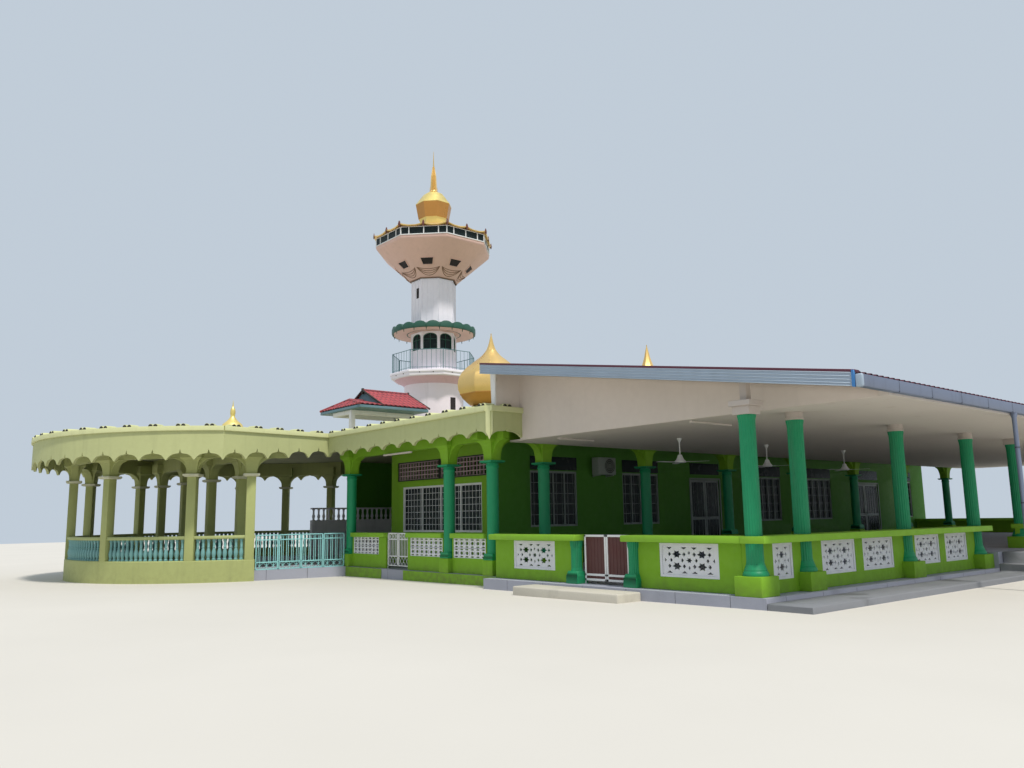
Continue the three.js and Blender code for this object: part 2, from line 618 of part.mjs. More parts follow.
// One sheet of glass stands behind the windows of each row, cut round the doorways.
const PANE = 30;
const PANE_BOTTOM = 1120;
const PANE_TOP = 3100;
const FRONT_PANE_TOP = 2720;
const glassRight = HALL_RIGHT - WALL - GAP;
const glassFront = ROOM_FRONT + WALL + GAP;
const glassBack = BACK_Y - WALL - GAP;
const glassLeft = HALL_LEFT + WALL + GAP;
const glassPlan = [
  [-15200, glassFront], [glassRight, glassFront], [glassRight, glassBack], [glassLeft, glassBack],
  [glassLeft, 12600],
  [glassLeft + PANE, 12600], [glassLeft + PANE, glassBack - PANE], [glassRight - PANE, glassBack - PANE],
  [glassRight - PANE, glassFront + PANE], [-15200, glassFront + PANE],
];
part(hall, 'hall_glazing', cut(slab(glassPlan, PANE_BOTTOM, PANE_TOP), [
  box(-15300, glassRight - 100, glassFront - 50, glassFront + 50, FRONT_PANE_TOP, PANE_TOP + 50),
  ...doorways.map(([a, b]) => box(glassRight - 50, glassRight + 50, a - 60, b + 60,
    PANE_BOTTOM - 50, DOOR_TOP + 40)),
]), glass);

// Glazed double doors into the prayer hall, on floor pivots

const DOOR_X = HALL_RIGHT - 40;
function doorLeaf(pivotY, reach, direction) {
  const [y0, y1] = direction > 0 ? [pivotY, pivotY + reach] : [pivotY - reach, pivotY];
  const bottom = RAISED + 12;
  const panel = box(DOOR_X - LEAF / 2, DOOR_X + LEAF / 2, y0, y1, bottom, DOOR_TOP - 10);
  return panel.add(turned([[0, RAISED + GAP], [PIN, RAISED + GAP], [PIN, bottom + 20], [0, bottom + 20]],
    12, DOOR_X, pivotY));
}
doorways.forEach(([a, b], i) => {
  const reach = (b - a) / 2 - PIVOT - 6;
  part(hall, `hall_door_${i + 1}_near_leaf`, doorLeaf(a + PIVOT, reach, 1), white);
  part(hall, `hall_door_${i + 1}_far_leaf`, doorLeaf(b - PIVOT, reach, -1), white);
});

part(hall, 'air_conditioner', join([
  box(HALL_RIGHT + 60, HALL_RIGHT + 360, 6370, 7160, 2860, 3400),
  box(HALL_RIGHT + GAP, HALL_RIGHT + 340, 6440, 6480, 2800, 2870),
  box(HALL_RIGHT + GAP, HALL_RIGHT + 340, 7050, 7090, 2800, 2870),
]), white);

// Flat concrete roof with the drums of the two domes, and its scalloped fascia

const DOME_1 = [-15100, 6300];
const DOME_2 = [-15650, 15600];
const DOME_1_BOTTOM = 5540;
const DOME_2_BOTTOM = 4700;

const ARC_FROM = 62.3; // the porch fascia's ends, in degrees
const ARC_TO = -160.2;
const arcLength = THREE.MathUtils.degToRad(ARC_FROM - ARC_TO) * PORCH_ROOF;
const arcScallops = Math.round(arcLength / PORCH_SCALLOP);
const linkLeft = polar(PORCH_X, PORCH_Y, PORCH_ROOF, ARC_FROM);
const linkRun = CANOPY_FRONT - linkLeft[1];
const linkDegrees = THREE.MathUtils.radToDeg(Math.atan2(linkLeft[0] - CANOPY_LEFT, linkRun));
const linkLength = Math.hypot(CANOPY_LEFT - linkLeft[0], linkRun);
const linkCut = placed(box(-FASCIA - GAP, 3000, -60, linkLength + FASCIA, SLAB_BOTTOM - 10, SLAB_TOP + 10),
  ...linkLeft, linkDegrees);
const roofRect = [
  box(HALL_LEFT - 300, SLAB_EDGE - GAP, RAISED_Y, BACK_Y + 200, SLAB_BOTTOM, SLAB_TOP),
  box(HALL_LEFT, SLAB_EDGE - GAP, CANOPY_FRONT + FASCIA + GAP, RAISED_Y + 1, SLAB_BOTTOM, SLAB_TOP),
];
const roundRoof = slab([
  ...arc(PORCH_X, PORCH_Y, PORCH_ROOF - FASCIA - GAP, ARC_TO, ARC_FROM, arcScallops),
  [CANOPY_LEFT, CANOPY_FRONT + FASCIA + GAP], [CANOPY_LEFT, 3000],
], SLAB_BOTTOM, SLAB_TOP);
const drum1 = turned([[0, SLAB_TOP - 10], [760, SLAB_TOP - 10], [760, DOME_1_BOTTOM - GAP],
  [0, DOME_1_BOTTOM - GAP]], 8, ...DOME_1, flatten);
const drum2 = turned([[0, SLAB_TOP - 10], [1300, SLAB_TOP - 10], [1300, DOME_2_BOTTOM - GAP],
  [0, DOME_2_BOTTOM - GAP]], 8, ...DOME_2, flatten);
part(hall, 'flat_roof', join([cut(roundRoof, [linkCut]), ...roofRect, drum1, drum2]), concrete);

// Lower edge of a fascia along its length: ogee scallops between drops, as distance and height.
function scallops(length, spacing, tip, rise) {
  const count = Math.round(length / spacing);
  const pitch = length / count;
  const shape = [[0, 0], [0.16, 0.62], [0.5, 1], [0.84, 0.62]];
  const points = [];
  for (let i = 0; i < count; i += 1) {
    for (const [along, up] of shape) {
      points.push([pitch * (i + along), tip + rise * up]);
    }
  }
  points.push([length, tip]);
  return points;
}

const frontLength = CANOPY_RIGHT - CANOPY_LEFT;
const frontEdge = scallops(frontLength, SCALLOP, CANOPY_TIP, CANOPY_RISE)
  .map(([d, z]) => [CANOPY_LEFT + d, z]);
const returnLength = GABLE_Y - GAP - CANOPY_FRONT;
const returnEdge = scallops(returnLength, SCALLOP, CANOPY_TIP, CANOPY_RISE)
  .map(([d, z]) => [CANOPY_FRONT + d, z]);
part(hall, 'canopy_fascia', join([
  alongY([...frontEdge, [CANOPY_RIGHT, FASCIA_TOP], [CANOPY_LEFT, FASCIA_TOP]],
    CANOPY_FRONT, CANOPY_FRONT + FASCIA),
  alongX([...returnEdge, [GABLE_Y - GAP, FASCIA_TOP], [CANOPY_FRONT, FASCIA_TOP]], SLAB_EDGE, CANOPY_RIGHT),
  box(CANOPY_LEFT, CANOPY_RIGHT + 40, CANOPY_FRONT - 40, CANOPY_FRONT + 10, FASCIA_LINE, FASCIA_TOP),
  box(CANOPY_RIGHT - 10, CANOPY_RIGHT + 40, CANOPY_FRONT - 40, GABLE_Y - GAP, FASCIA_LINE, FASCIA_TOP),
]), paleOlive);

// The porch fascia is bent round its circle, one flat facet to each point of the scallops.
function bentFascia() {
  const edge = scallops(arcLength, PORCH_SCALLOP, PORCH_TIP, PORCH_RISE);
  const positions = [];
  const index = [];
  edge.forEach(([d, z]) => {
    const degrees = ARC_TO + (ARC_FROM - ARC_TO) * d / arcLength;
    const [xo, yo] = polar(PORCH_X, PORCH_Y, PORCH_ROOF, degrees);
    const [xi, yi] = polar(PORCH_X, PORCH_Y, PORCH_ROOF - FASCIA, degrees);
    positions.push(xo, yo, z, xo, yo, FASCIA_TOP, xi, yi, FASCIA_TOP, xi, yi, z);
  });
  for (let i = 0; i < edge.length - 1; i += 1) {
    for (let side = 0; side < 4; side += 1) {
      const a = i * 4 + side;
      const b = i * 4 + (side + 1) % 4;
      index.push(a, a + 4, b, b, a + 4, b + 4);
    }
  }
  const last = (edge.length - 1) * 4;
  index.push(0, 1, 2, 0, 2, 3);
  index.push(last, last + 2, last + 1, last, last + 3, last + 2);
  const geometry = new THREE.BufferGeometry();
  geometry.setAttribute('position', new THREE.BufferAttribute(new Float32Array(positions), 3));
  geometry.setIndex(index);
  return solidOf(geometry);
}

const linkEdge = scallops(linkLength, PORCH_SCALLOP, PORCH_TIP, PORCH_RISE);
const linkPlate = placed(alongX([...linkEdge, [linkLength, FASCIA_TOP], [0, FASCIA_TOP]], -FASCIA, 0),
  ...linkLeft, linkDegrees);
const canopyClear = box(CANOPY_LEFT - GAP, CANOPY_RIGHT, CANOPY_FRONT - 60, 3000,
  PORCH_TIP - 100, FASCIA_TOP + 100);
part(hall, 'porch_fascia', cut(join([
  bentFascia(),
  porchBand(PORCH_ROOF - 5, PORCH_ROOF + 40, ARC_FROM, ARC_TO, FASCIA_LINE, FASCIA_TOP, arcScallops * 2),
  linkPlate,
]), [canopyClear]), paleOlive);

// A bell with a spindle and a needle, as radius and height over the roof.
const finialProfile = [[0, GAP], [620, GAP], [600, 150], [470, 480], [330, 770], [200, 880], [110, 990],
  [75, 1080], [92, 1180], [80, 1300], [30, 1400], [0, 1630]];
part(hall, 'porch_finial', turned(finialProfile.map(([r, z]) => [r, SLAB_TOP + z]), 12, -20400, -1150), gold);

// Round porch: arcade, low wall with balusters, folding gate

const porch = region();
const ringAngles = [PORCH_FROM, 52, 22, -13, -38.5, -67.5, -89.5, -111, -130.5, PORCH_TO];
const SQUARE = 130; // half the side of a porch column
const PORCH_BEAM_BOTTOM = 3450;
const SLAB_HALF = 232; // half the side of a porch capital
const SLAB_DEPTH = 85;

function porchColumn(bottom) {
  return join([
    box(-SQUARE, SQUARE, -SQUARE, SQUARE, bottom, PORCH_CAPITAL + 1),
    box(-SLAB_HALF, SLAB_HALF, -SLAB_HALF, SLAB_HALF, PORCH_CAPITAL, PORCH_CAPITAL + SLAB_DEPTH),
    alongY(haunch(0, 150, PORCH_CAPITAL + SLAB_DEPTH - 1, PORCH_BEAM_BOTTOM, 520), -BEAM_HALF, BEAM_HALF),
  ]);
}

const ringColumn = porchColumn(PORCH_WALL_TOP + GAP);
const innerColumn = porchColumn(FLOOR + GAP);
const CROSS_ROW = -2100; // a straight row of columns across the porch
const crossRowXs = [-24600, -22100, -19600, -17100];
part(porch, 'porch_arcade', join([
  ...ringAngles.map((degrees) => placed(ringColumn, ...polar(PORCH_X, PORCH_Y, PORCH_RING, degrees), degrees)),
  porchBand(PORCH_RING - BEAM_HALF, PORCH_RING + BEAM_HALF, 80, PORCH_TO - 6, PORCH_BEAM_BOTTOM, beamTop, 42),
  ...crossRowXs.map((x) => placed(innerColumn, x, CROSS_ROW)),
  box(-25700, -15550, CROSS_ROW - BEAM_HALF, CROSS_ROW + BEAM_HALF, PORCH_BEAM_BOTTOM, beamTop),
]), olive);

const BALUSTER_PITCH = 400;
const balusters = [];
ringAngles.slice(0, -1).forEach((from, i) => {
  const to = ringAngles[i + 1];
  const span = THREE.MathUtils.degToRad(from - to) * PORCH_RING - 2 * SQUARE;
  const edge = THREE.MathUtils.radToDeg(SQUARE / PORCH_RING);
  const count = Math.round(span / BALUSTER_PITCH);
  const pitch = (from - to - 2 * edge) / count;
  for (let k = 0; k < count; k += 1) {
    const degrees = from - edge - pitch * (k + 0.5);
    balusters.push(placed(box(-50, 50, -50, 50, PORCH_WALL_TOP - 1, COPING_TOP - 90),
      ...polar(PORCH_X, PORCH_Y, PORCH_RING, degrees), degrees));
  }
});
const ringSockets = ringAngles.map((degrees) => placed(
  box(-SQUARE - GAP, SQUARE + GAP, -SQUARE - 60, SQUARE + 60, PORCH_WALL_TOP + GAP / 2, COPING_TOP + 10),
  ...polar(PORCH_X, PORCH_Y, PORCH_RING, degrees), degrees));
const porchRail = cut(porchBand(PORCH_RING - 90, PORCH_RING + 90, PORCH_FROM, PORCH_TO,
  COPING_TOP - 95, COPING_TOP, 42), ringSockets);
part(porch, 'porch_wall', join([
  porchBand(PORCH_WALL_IN, PORCH_WALL, PORCH_FROM + 1.6, PORCH_TO - 1.6, BASE, PORCH_WALL_TOP, 42),
  ...balusters, porchRail]), olive);

const gateFrom = polar(PORCH_X, PORCH_Y, PORCH_RING, PORCH_FROM + 1.8);
const gateTo = [frontRow[0] - 30, CANOPY_ROW - PEDESTAL_HALF - 10];
const foldRun = Math.hypot(gateTo[0] - gateFrom[0], gateTo[1] - gateFrom[1]);
const foldHeading = THREE.MathUtils.radToDeg(Math.atan2(gateTo[1] - gateFrom[1], gateTo[0] - gateFrom[0]));
const foldLeaf = foldRun / 4;
const foldSlots = [];
for (let leaf = 0; leaf < 4; leaf += 1) {
  for (let bay = 0; bay < 3; bay += 1) {
    const x0 = foldLeaf * leaf + 45 + (foldLeaf - 90) * bay / 3 + 15;
    const x1 = foldLeaf * leaf + 45 + (foldLeaf - 90) * (bay + 1) / 3 - 15;
    foldSlots.push(box(x0, x1, -30, 30, FLOOR + 60, FLOOR + 200));
    foldSlots.push(box(x0, x1, -30, 30, FLOOR + 230, COPING_TOP - 60));
  }
}
part(porch, 'folding_gate', placed(cut(box(0, foldRun, -20, 20, FLOOR + GAP, COPING_TOP), foldSlots),
  gateFrom[0], gateFrom[1], foldHeading), tealPaint);

// Half wall with a railing, along the left side behind the porch

const HALF_WALL = -22200;
const HALF_WALL_FRONT = 2800;
const HALF_WALL_BACK = 9600;
const HALF_WALL_TOP = 1600;
const HALF_RAIL = 2020;
const HALF_POSTS = 9;
const halfPostPitch = (HALF_WALL_BACK - HALF_WALL_FRONT - 80) / (HALF_POSTS - 1);
const halfPosts = Array.from({ length: HALF_POSTS }, (unused, i) => HALF_WALL_FRONT + i * halfPostPitch);
part(porch, 'inner_balustrade', join([
  box(HALF_WALL, HALF_WALL + WALL, HALF_WALL_FRONT, HALF_WALL_BACK, onFloor, HALF_WALL_TOP),
  box(HALF_WALL, HALF_WALL + WALL, HALF_WALL_FRONT, HALF_WALL_BACK, HALF_RAIL, HALF_RAIL + 60),
  ...halfPosts.map((y) => box(HALF_WALL + 30, HALF_WALL + 120, y, y + 80, HALF_WALL_TOP - 1, HALF_RAIL + 1)),
]), white);

// Onion domes, eight-sided, on the hall roof

function onion(bottom, scale) {
  const shape = [[0, 0], [610, 0], [920, 120], [1180, 420], [1275, 760], [1200, 1080], [950, 1400],
    [600, 1680], [330, 1900], [170, 2120], [80, 2380], [0, 2720]];
  return shape.map(([r, z]) => [r * scale, bottom + z * scale]);
}
part(hall, 'small_dome', turned(onion(DOME_1_BOTTOM, 1), 16, ...DOME_1, flatten), gold);
part(hall, 'main_dome', turned(onion(DOME_2_BOTTOM, 1.6), 16, ...DOME_2, flatten), gold);

// Red-tiled lantern roof on posts over the hall roof

const TILE_X = -20250; // line of the ridge, which runs back from the street
const TILE_FRONT = 2950;
const TILE_BACK = 6000;
const TILE_HALF = 1550;
const TILE_EAVE = 5700;
const TILE_EDGE = TILE_EAVE + 100;
const TILE_RIDGE = 6550;
const GABLET_Y = 4000; // the high roof's front gable, behind a lower hipped end
const HIP_Y = 3370; // where the lower roof's ridge starts
const HIP_RIDGE = 6130;
const POST_RIGHT = -19630;
const POST_LEFT = -20870;
const FRAME_HALF = 90;
const postPlaces = [[POST_RIGHT, 3150], [POST_RIGHT, 5800], [POST_LEFT, 3850], [POST_LEFT, 5800]];
const frameRing = (grow, z0, z1) => box(POST_LEFT - grow, POST_RIGHT + grow, 3150 - grow, 5800 + grow, z0, z1);
part(hall, 'lantern_frame', join([
  ...postPlaces.map(([x, y]) => box(x - FRAME_HALF, x + FRAME_HALF, y - FRAME_HALF, y + FRAME_HALF,
    SLAB_TOP + GAP, TILE_EAVE - GAP)),
  cut(frameRing(FRAME_HALF, TILE_EAVE - 160, TILE_EAVE - GAP),
    [frameRing(-FRAME_HALF, TILE_EAVE - 170, TILE_EAVE + 10)]),
]), white);

const tiledSlopes = (ridge, y0, y1) => alongY([[TILE_X - TILE_HALF, TILE_EAVE], [TILE_X + TILE_HALF, TILE_EAVE],
  [TILE_X + TILE_HALF, TILE_EDGE], [TILE_X, ridge], [TILE_X - TILE_HALF, TILE_EDGE]], y0, y1);
const hipCut = alongX([[TILE_FRONT - 50, TILE_EDGE], [TILE_FRONT, TILE_EDGE], [HIP_Y, HIP_RIDGE],
  [HIP_Y, HIP_RIDGE + 50], [TILE_FRONT - 50, HIP_RIDGE + 50]], TILE_X - 2000, TILE_X + 2000);
part(hall, 'lantern_tile_roof', cut(tiledSlopes(HIP_RIDGE, TILE_FRONT, GABLET_Y + 1), [hipCut])
  .add(tiledSlopes(TILE_RIDGE, GABLET_Y, TILE_BACK)), redTile);

// Minaret, eight-sided, with its flats along the axes

const tower = region();
const towerTurned = (points, sides = 8) => turned(points, sides, TOWER_X, TOWER_Y, flatten);
const flat = (width) => width / Math.cos(Math.PI / 8); // corner radius from the half width across flats

const BALCONY_TOP = 8420;
const BALCONY_BOTTOM = 8130;
const BALCONY_HALF = 1980;
part(tower, 'tower_base', join([
  turned([[0, BASE], [DRUM_RADIUS, BASE], [DRUM_RADIUS, 7850], [1460, 7920], [1860, BALCONY_BOTTOM + 20],
    [0, BALCONY_BOTTOM + 20]], 20, TOWER_X, TOWER_Y),
  towerTurned([[0, BALCONY_BOTTOM], [flat(BALCONY_HALF - 50), BALCONY_BOTTOM],
    [flat(BALCONY_HALF), BALCONY_BOTTOM + 50], [flat(BALCONY_HALF), BALCONY_TOP], [0, BALCONY_TOP]]),
]), palePink);

const RAIL_OUT = 1880;
const RAIL_IN = 1830;
const RAIL_TOP = 9380;
const railRing = (z0, z1) => towerTurned([[flat(RAIL_IN), z0], [flat(RAIL_OUT), z0], [flat(RAIL_OUT), z1],
  [flat(RAIL_IN), z1], [flat(RAIL_IN), z0]]);
const railPosts = Array.from({ length: 16 }, (unused, i) => {
  const side = Math.floor(i / 2);
  const along = (i % 2 - 0.5) * 760;
  return placed(box(along - 12, along + 12, -RAIL_OUT + 12, -RAIL_IN - 12, BALCONY_TOP + GAP, RAIL_TOP - 10),
    TOWER_X, TOWER_Y, side * 45);
});
part(tower, 'balcony_railing', join([
  railRing(BALCONY_TOP + 100, BALCONY_TOP + 130), railRing(RAIL_TOP - 40, RAIL_TOP), ...railPosts]), tealPaint);

const EAVES_BOTTOM = 10380;
const SHAFT_HALF = 1000;
const LANTERN_TOP = EAVES_BOTTOM + 20;
const lanternWall = cut(
  towerTurned([[0, BALCONY_TOP + GAP], [flat(SHAFT_HALF), BALCONY_TOP + GAP], [flat(SHAFT_HALF), LANTERN_TOP],
    [0, LANTERN_TOP]]),
  [towerTurned([[0, BALCONY_TOP - 1], [flat(SHAFT_HALF - 120), BALCONY_TOP - 1],
    [flat(SHAFT_HALF - 120), LANTERN_TOP + 100], [0, LANTERN_TOP + 100]]),
  ...Array.from({ length: 8 }, (unused, i) => placed(box(-300, 300, -SHAFT_HALF - 50, -SHAFT_HALF + 200,
    9500, LANTERN_TOP - 80), TOWER_X, TOWER_Y, i * 45))]);
part(tower, 'tower_lantern', lanternWall, white);

const EAVES_HALF = 1930;
const SHAFT_BOTTOM = EAVES_BOTTOM + 420;
part(tower, 'lantern_roof', towerTurned([[0, LANTERN_TOP + GAP], [flat(SHAFT_HALF + 100), LANTERN_TOP + GAP],
  [flat(EAVES_HALF), EAVES_BOTTOM], [flat(EAVES_HALF), EAVES_BOTTOM + 260], [flat(1500), SHAFT_BOTTOM - 80],
  [flat(SHAFT_HALF), SHAFT_BOTTOM], [0, SHAFT_BOTTOM]]), darkGreen);

const SHAFT_TOP = 13000;
part(tower, 'tower_shaft', towerTurned([[0, SHAFT_BOTTOM + GAP], [flat(SHAFT_HALF), SHAFT_BOTTOM + GAP],
  [flat(SHAFT_HALF), SHAFT_TOP], [0, SHAFT_TOP]]), white);

const CABIN_FLOOR = 14640;
const CABIN_TOP = 15060;
const CABIN_HALF = 2630;
part(tower, 'tower_funnel', towerTurned([[0, SHAFT_TOP + GAP], [flat(1060), SHAFT_TOP + GAP],
  [flat(1100), SHAFT_TOP + 60], [flat(2560), CABIN_FLOOR - 200], [flat(CABIN_HALF), CABIN_FLOOR],
  [0, CABIN_FLOOR]]), palePink);

// The cabin is a ring of windows round one room.
part(tower, 'tower_cabin', cut(
  towerTurned([[0, CABIN_FLOOR + GAP], [flat(CABIN_HALF), CABIN_FLOOR + GAP], [flat(CABIN_HALF), CABIN_TOP],
    [0, CABIN_TOP]]),
  [towerTurned([[0, CABIN_FLOOR - 1], [flat(CABIN_HALF - 120), CABIN_FLOOR - 1],
    [flat(CABIN_HALF - 120), CABIN_TOP + 1], [0, CABIN_TOP + 1]]),
  ...Array.from({ length: 8 }, (unused, i) => placed(box(-950, 950, -CABIN_HALF - 100, -CABIN_HALF + 200,
    CABIN_FLOOR + 50, CABIN_TOP - 50), TOWER_X, TOWER_Y, i * 45))]), white);

const EAVES = 2760;
const COLLAR = 15940;
part(tower, 'cabin_roof', towerTurned([[0, CABIN_TOP + GAP], [flat(CABIN_HALF), CABIN_TOP + GAP],
  [flat(EAVES), CABIN_TOP - 20], [flat(EAVES), CABIN_TOP + 50], [flat(1700), CABIN_TOP + 380],
  [flat(660), COLLAR], [0, COLLAR]]), gold);

// Collar, belt, helmet and needle of the spire, as corner radius and height.
const spireProfile = [[0, COLLAR + GAP], [620, COLLAR + GAP], [700, 16250], [760, 16300], [900, 16940],
  [900, 16990], [500, 17560], [340, 17660], [200, 17690], [200, 17980], [150, 18050], [130, 18600],
  [50, 19080], [0, 19890]];
part(tower, 'tower_spire', towerTurned(spireProfile), gold);

// Origin at the bottom centre of the whole building

const bounds = new THREE.Box3().setFromObject(site);
const middle = bounds.getCenter(new THREE.Vector3());
site.position.set(-middle.x, -middle.y, -bounds.min.z);

export default site;
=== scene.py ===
"""Village mosque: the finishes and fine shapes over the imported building.

Plan metres: X runs right along the street front, Y back from the street, Z up. X = 0, Y = 0 is the near
outer corner of the verandah's coping and Z = 0 the ground there. Finished pieces are moved to the frame.
"""

from math import atan2, ceil, cos, degrees, hypot, pi, radians, sin, sqrt, tan

import bmesh
import bpy
from mathutils import Matrix, Vector


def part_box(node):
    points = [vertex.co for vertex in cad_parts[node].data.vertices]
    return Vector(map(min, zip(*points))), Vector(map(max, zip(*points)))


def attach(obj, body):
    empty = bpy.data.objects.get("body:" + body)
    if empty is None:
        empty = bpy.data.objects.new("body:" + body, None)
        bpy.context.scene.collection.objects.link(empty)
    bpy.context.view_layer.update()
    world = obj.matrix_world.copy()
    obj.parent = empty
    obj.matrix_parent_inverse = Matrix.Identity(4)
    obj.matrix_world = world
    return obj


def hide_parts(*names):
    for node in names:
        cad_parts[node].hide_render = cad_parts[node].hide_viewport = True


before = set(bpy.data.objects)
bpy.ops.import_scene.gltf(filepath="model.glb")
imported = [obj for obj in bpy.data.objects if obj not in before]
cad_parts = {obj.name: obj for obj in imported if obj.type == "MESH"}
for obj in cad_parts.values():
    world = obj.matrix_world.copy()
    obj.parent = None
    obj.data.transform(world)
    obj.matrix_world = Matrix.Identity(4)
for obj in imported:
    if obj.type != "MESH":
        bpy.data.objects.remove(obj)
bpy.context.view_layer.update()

# Plan and frame

STEP_CORNER = Vector((-5.70, -0.78, -0.20))  # lowest corner of the step in front of the gate, in the plan
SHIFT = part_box("gate_step")[0] - STEP_CORNER
BUILDING = "building"
STREET, RIGHT, BACK, LEFT = 0, 90, 180, -90  # the way that a face looks, as a turn about the vertical

FLOOR, RAISED = 0.19, 0.57
COPING_TOP, COPING_DEPTH = 1.205, 0.125
COPING_BOTTOM = COPING_TOP - COPING_DEPTH
SOFFIT = 3.47
SLAB_BOTTOM, SLAB_TOP = 3.95, 4.20
GAP = 0.0003  # between neighbouring nodes
OVERLAP = 0.001  # between joined shapes


def plan_box(node):
    """Lowest and highest corner of a node, in the plan."""
    low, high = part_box(node)
    return low - SHIFT, high - SHIFT


# Camera and stage

LENS = 29.35  # millimetres on a sensor 36 wide
CAMERA_AT = Vector((8.227, -12.490, 1.6))
HEADING, TILT, ROLL = radians(49.738), radians(9.048), radians(-0.942)


def set_camera():
    ahead = Vector((-sin(HEADING) * cos(TILT), cos(HEADING) * cos(TILT), sin(TILT)))
    level = Vector((cos(HEADING), sin(HEADING), 0.0))
    above = level.cross(ahead)
    across = cos(ROLL) * level + sin(ROLL) * above
    upright = cos(ROLL) * above - sin(ROLL) * level
    lens = bpy.data.cameras.new("photo_camera")
    lens.sensor_width = 36.0
    lens.lens = LENS
    lens.clip_end = 500.0
    camera = bpy.data.objects.new("photo_camera", lens)
    turn = Matrix((across, upright, -ahead)).transposed().to_4x4()
    camera.matrix_world = Matrix.Translation(CAMERA_AT + SHIFT) @ turn
    bpy.context.scene.collection.objects.link(camera)
    bpy.context.scene.camera = camera


# Shader toolbox

def srgb(red, green, blue):
    """A colour as it looks on a screen, 0 to 255, made linear."""
    def linear(value):
        share = value / 255
        return share / 12.92 if share <= 0.04045 else ((share + 0.055) / 1.055) ** 2.4
    return linear(red), linear(green), linear(blue), 1.0


def scaled(colour, share):
    return tuple(min(1.0, channel * share) for channel in colour[:3]) + (1.0,)


class Signal:
    """A shader value that can be reckoned with: each operator adds its Math node."""

    def __init__(self, paint, socket):
        self.paint = paint
        self.socket = socket

    def reckon(self, operation, other):
        return self.paint.node("ShaderNodeMath", {"operation": operation}, {0: self, 1: other})

    def __add__(self, other):
        return self.reckon("ADD", other)

    def __sub__(self, other):
        return self.reckon("SUBTRACT", other)

    def __mul__(self, other):
        return self.reckon("MULTIPLY", other)

    def __truediv__(self, other):
        return self.reckon("DIVIDE", other)

    def __lt__(self, other):
        return self.reckon("LESS_THAN", other)


NOISE_ROUGHNESS = 0.55
PLASTER_IOR, PAINT_IOR, PANE_IOR = 1.45, 1.5, 1.25


class Paint:
    """A finish in the making, on a Principled shader."""

    def __init__(self, name, ior=None):
        self.material = bpy.data.materials.new(name)
        self.material.use_nodes = True
        self.tree = self.material.node_tree
        self.shader = self.tree.nodes["Principled BSDF"]
        if ior:
            self.shader.inputs["IOR"].default_value = ior

    def node(self, kind, settings=None, inputs=None, output=0):
        made = self.tree.nodes.new(kind)
        for setting, value in (settings or {}).items():
            setattr(made, setting, value)
        for key, value in (inputs or {}).items():
            self.feed(made.inputs[key], value)
        return Signal(self, made.outputs[output])

    def feed(self, socket, value):
        if isinstance(value, Signal):
            self.tree.links.new(value.socket, socket)
        else:
            socket.default_value = value

    def axis(self, letter):
        here = self.node("ShaderNodeTexCoord", output="Object")
        return self.node("ShaderNodeSeparateXYZ", inputs={0: here}, output=letter)

    def noise(self, scale, detail, stretch=(1.0, 1.0, 1.0)):
        """Noise over the building, in metres, with its axes stretched."""
        here = self.node("ShaderNodeTexCoord", output="Object")
        place = self.node("ShaderNodeMapping", inputs={"Vector": here, "Scale": stretch})
        return self.node("ShaderNodeTexNoise", {"noise_dimensions": "3D"}, {
            "Vector": place, "Scale": scale, "Detail": detail, "Roughness": NOISE_ROUGHNESS})

    def ramp(self, value, low, high, to_low=0.0, to_high=1.0):
        """The value spread from low..high to to_low..to_high, and held at both ends."""
        return self.node("ShaderNodeMapRange", {"interpolation_type": "SMOOTHSTEP"}, {
            "Value": value, "From Min": low, "From Max": high, "To Min": to_low, "To Max": to_high})

    def blend(self, share, first, second):
        return self.node("ShaderNodeMix", {"data_type": "RGBA", "blend_type": "MIX"},
                         {0: share, 6: first, 7: second}, 2)

    def joints(self, letter, pitch, width):
        """1 along thin lines a pitch apart on one axis, and 0 between them."""
        within = self.node("ShaderNodeMath", {"operation": "FRACT"}, {0: self.axis(letter) / pitch})
        return within < width / pitch

    def bump(self, height, depth):
        raised = self.node("ShaderNodeBump", inputs={"Height": height, "Distance": depth, "Strength": 1.0})
        self.feed(self.shader.inputs["Normal"], raised)

    def coat(self, colour, roughness=None, metallic=None):
        self.feed(self.shader.inputs["Base Color"], colour)
        if roughness is not None:
            self.feed(self.shader.inputs["Roughness"], roughness)
        if metallic is not None:
            self.feed(self.shader.inputs["Metallic"], metallic)
        return self.material

    def worn(self, colour, patches, smooth, rough, metallic=None):
        """The coat of a colour whose roughness follows its patches."""
        return self.coat(colour, self.ramp(patches, 0.3, 0.7, smooth, rough), metallic)


GROUND_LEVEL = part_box("gate_step")[0].z
SOOT = srgb(70, 68, 58)
MUD = srgb(104, 92, 74)
GRAIN = 0.0025  # depth of trowel marks in painted plaster


def weathered(paint, shade, grime, streaks):
    """A painted colour that has faded in patches, run in streaks and gathered dirt above the ground."""
    patches = paint.noise(0.5, 4)
    mottle = paint.noise(7.0, 4)
    tone = paint.blend(patches, scaled(shade, 0.84), scaled(shade, 1.12))
    tone = paint.blend(mottle * 0.35, tone, scaled(shade, 0.8))
    runs = paint.ramp(paint.noise(1.1, 4, (4.0, 4.0, 0.35)), 0.52, 0.78)
    tone = paint.blend(runs * streaks, tone, SOOT)
    low = paint.ramp(paint.axis("Z"), GROUND_LEVEL + 0.15, GROUND_LEVEL + 0.75, 1.0, 0.0)
    dirt = low * paint.ramp(mottle + patches * 0.5, 0.5, 1.0)
    return paint.blend(dirt * grime, tone, MUD), mottle


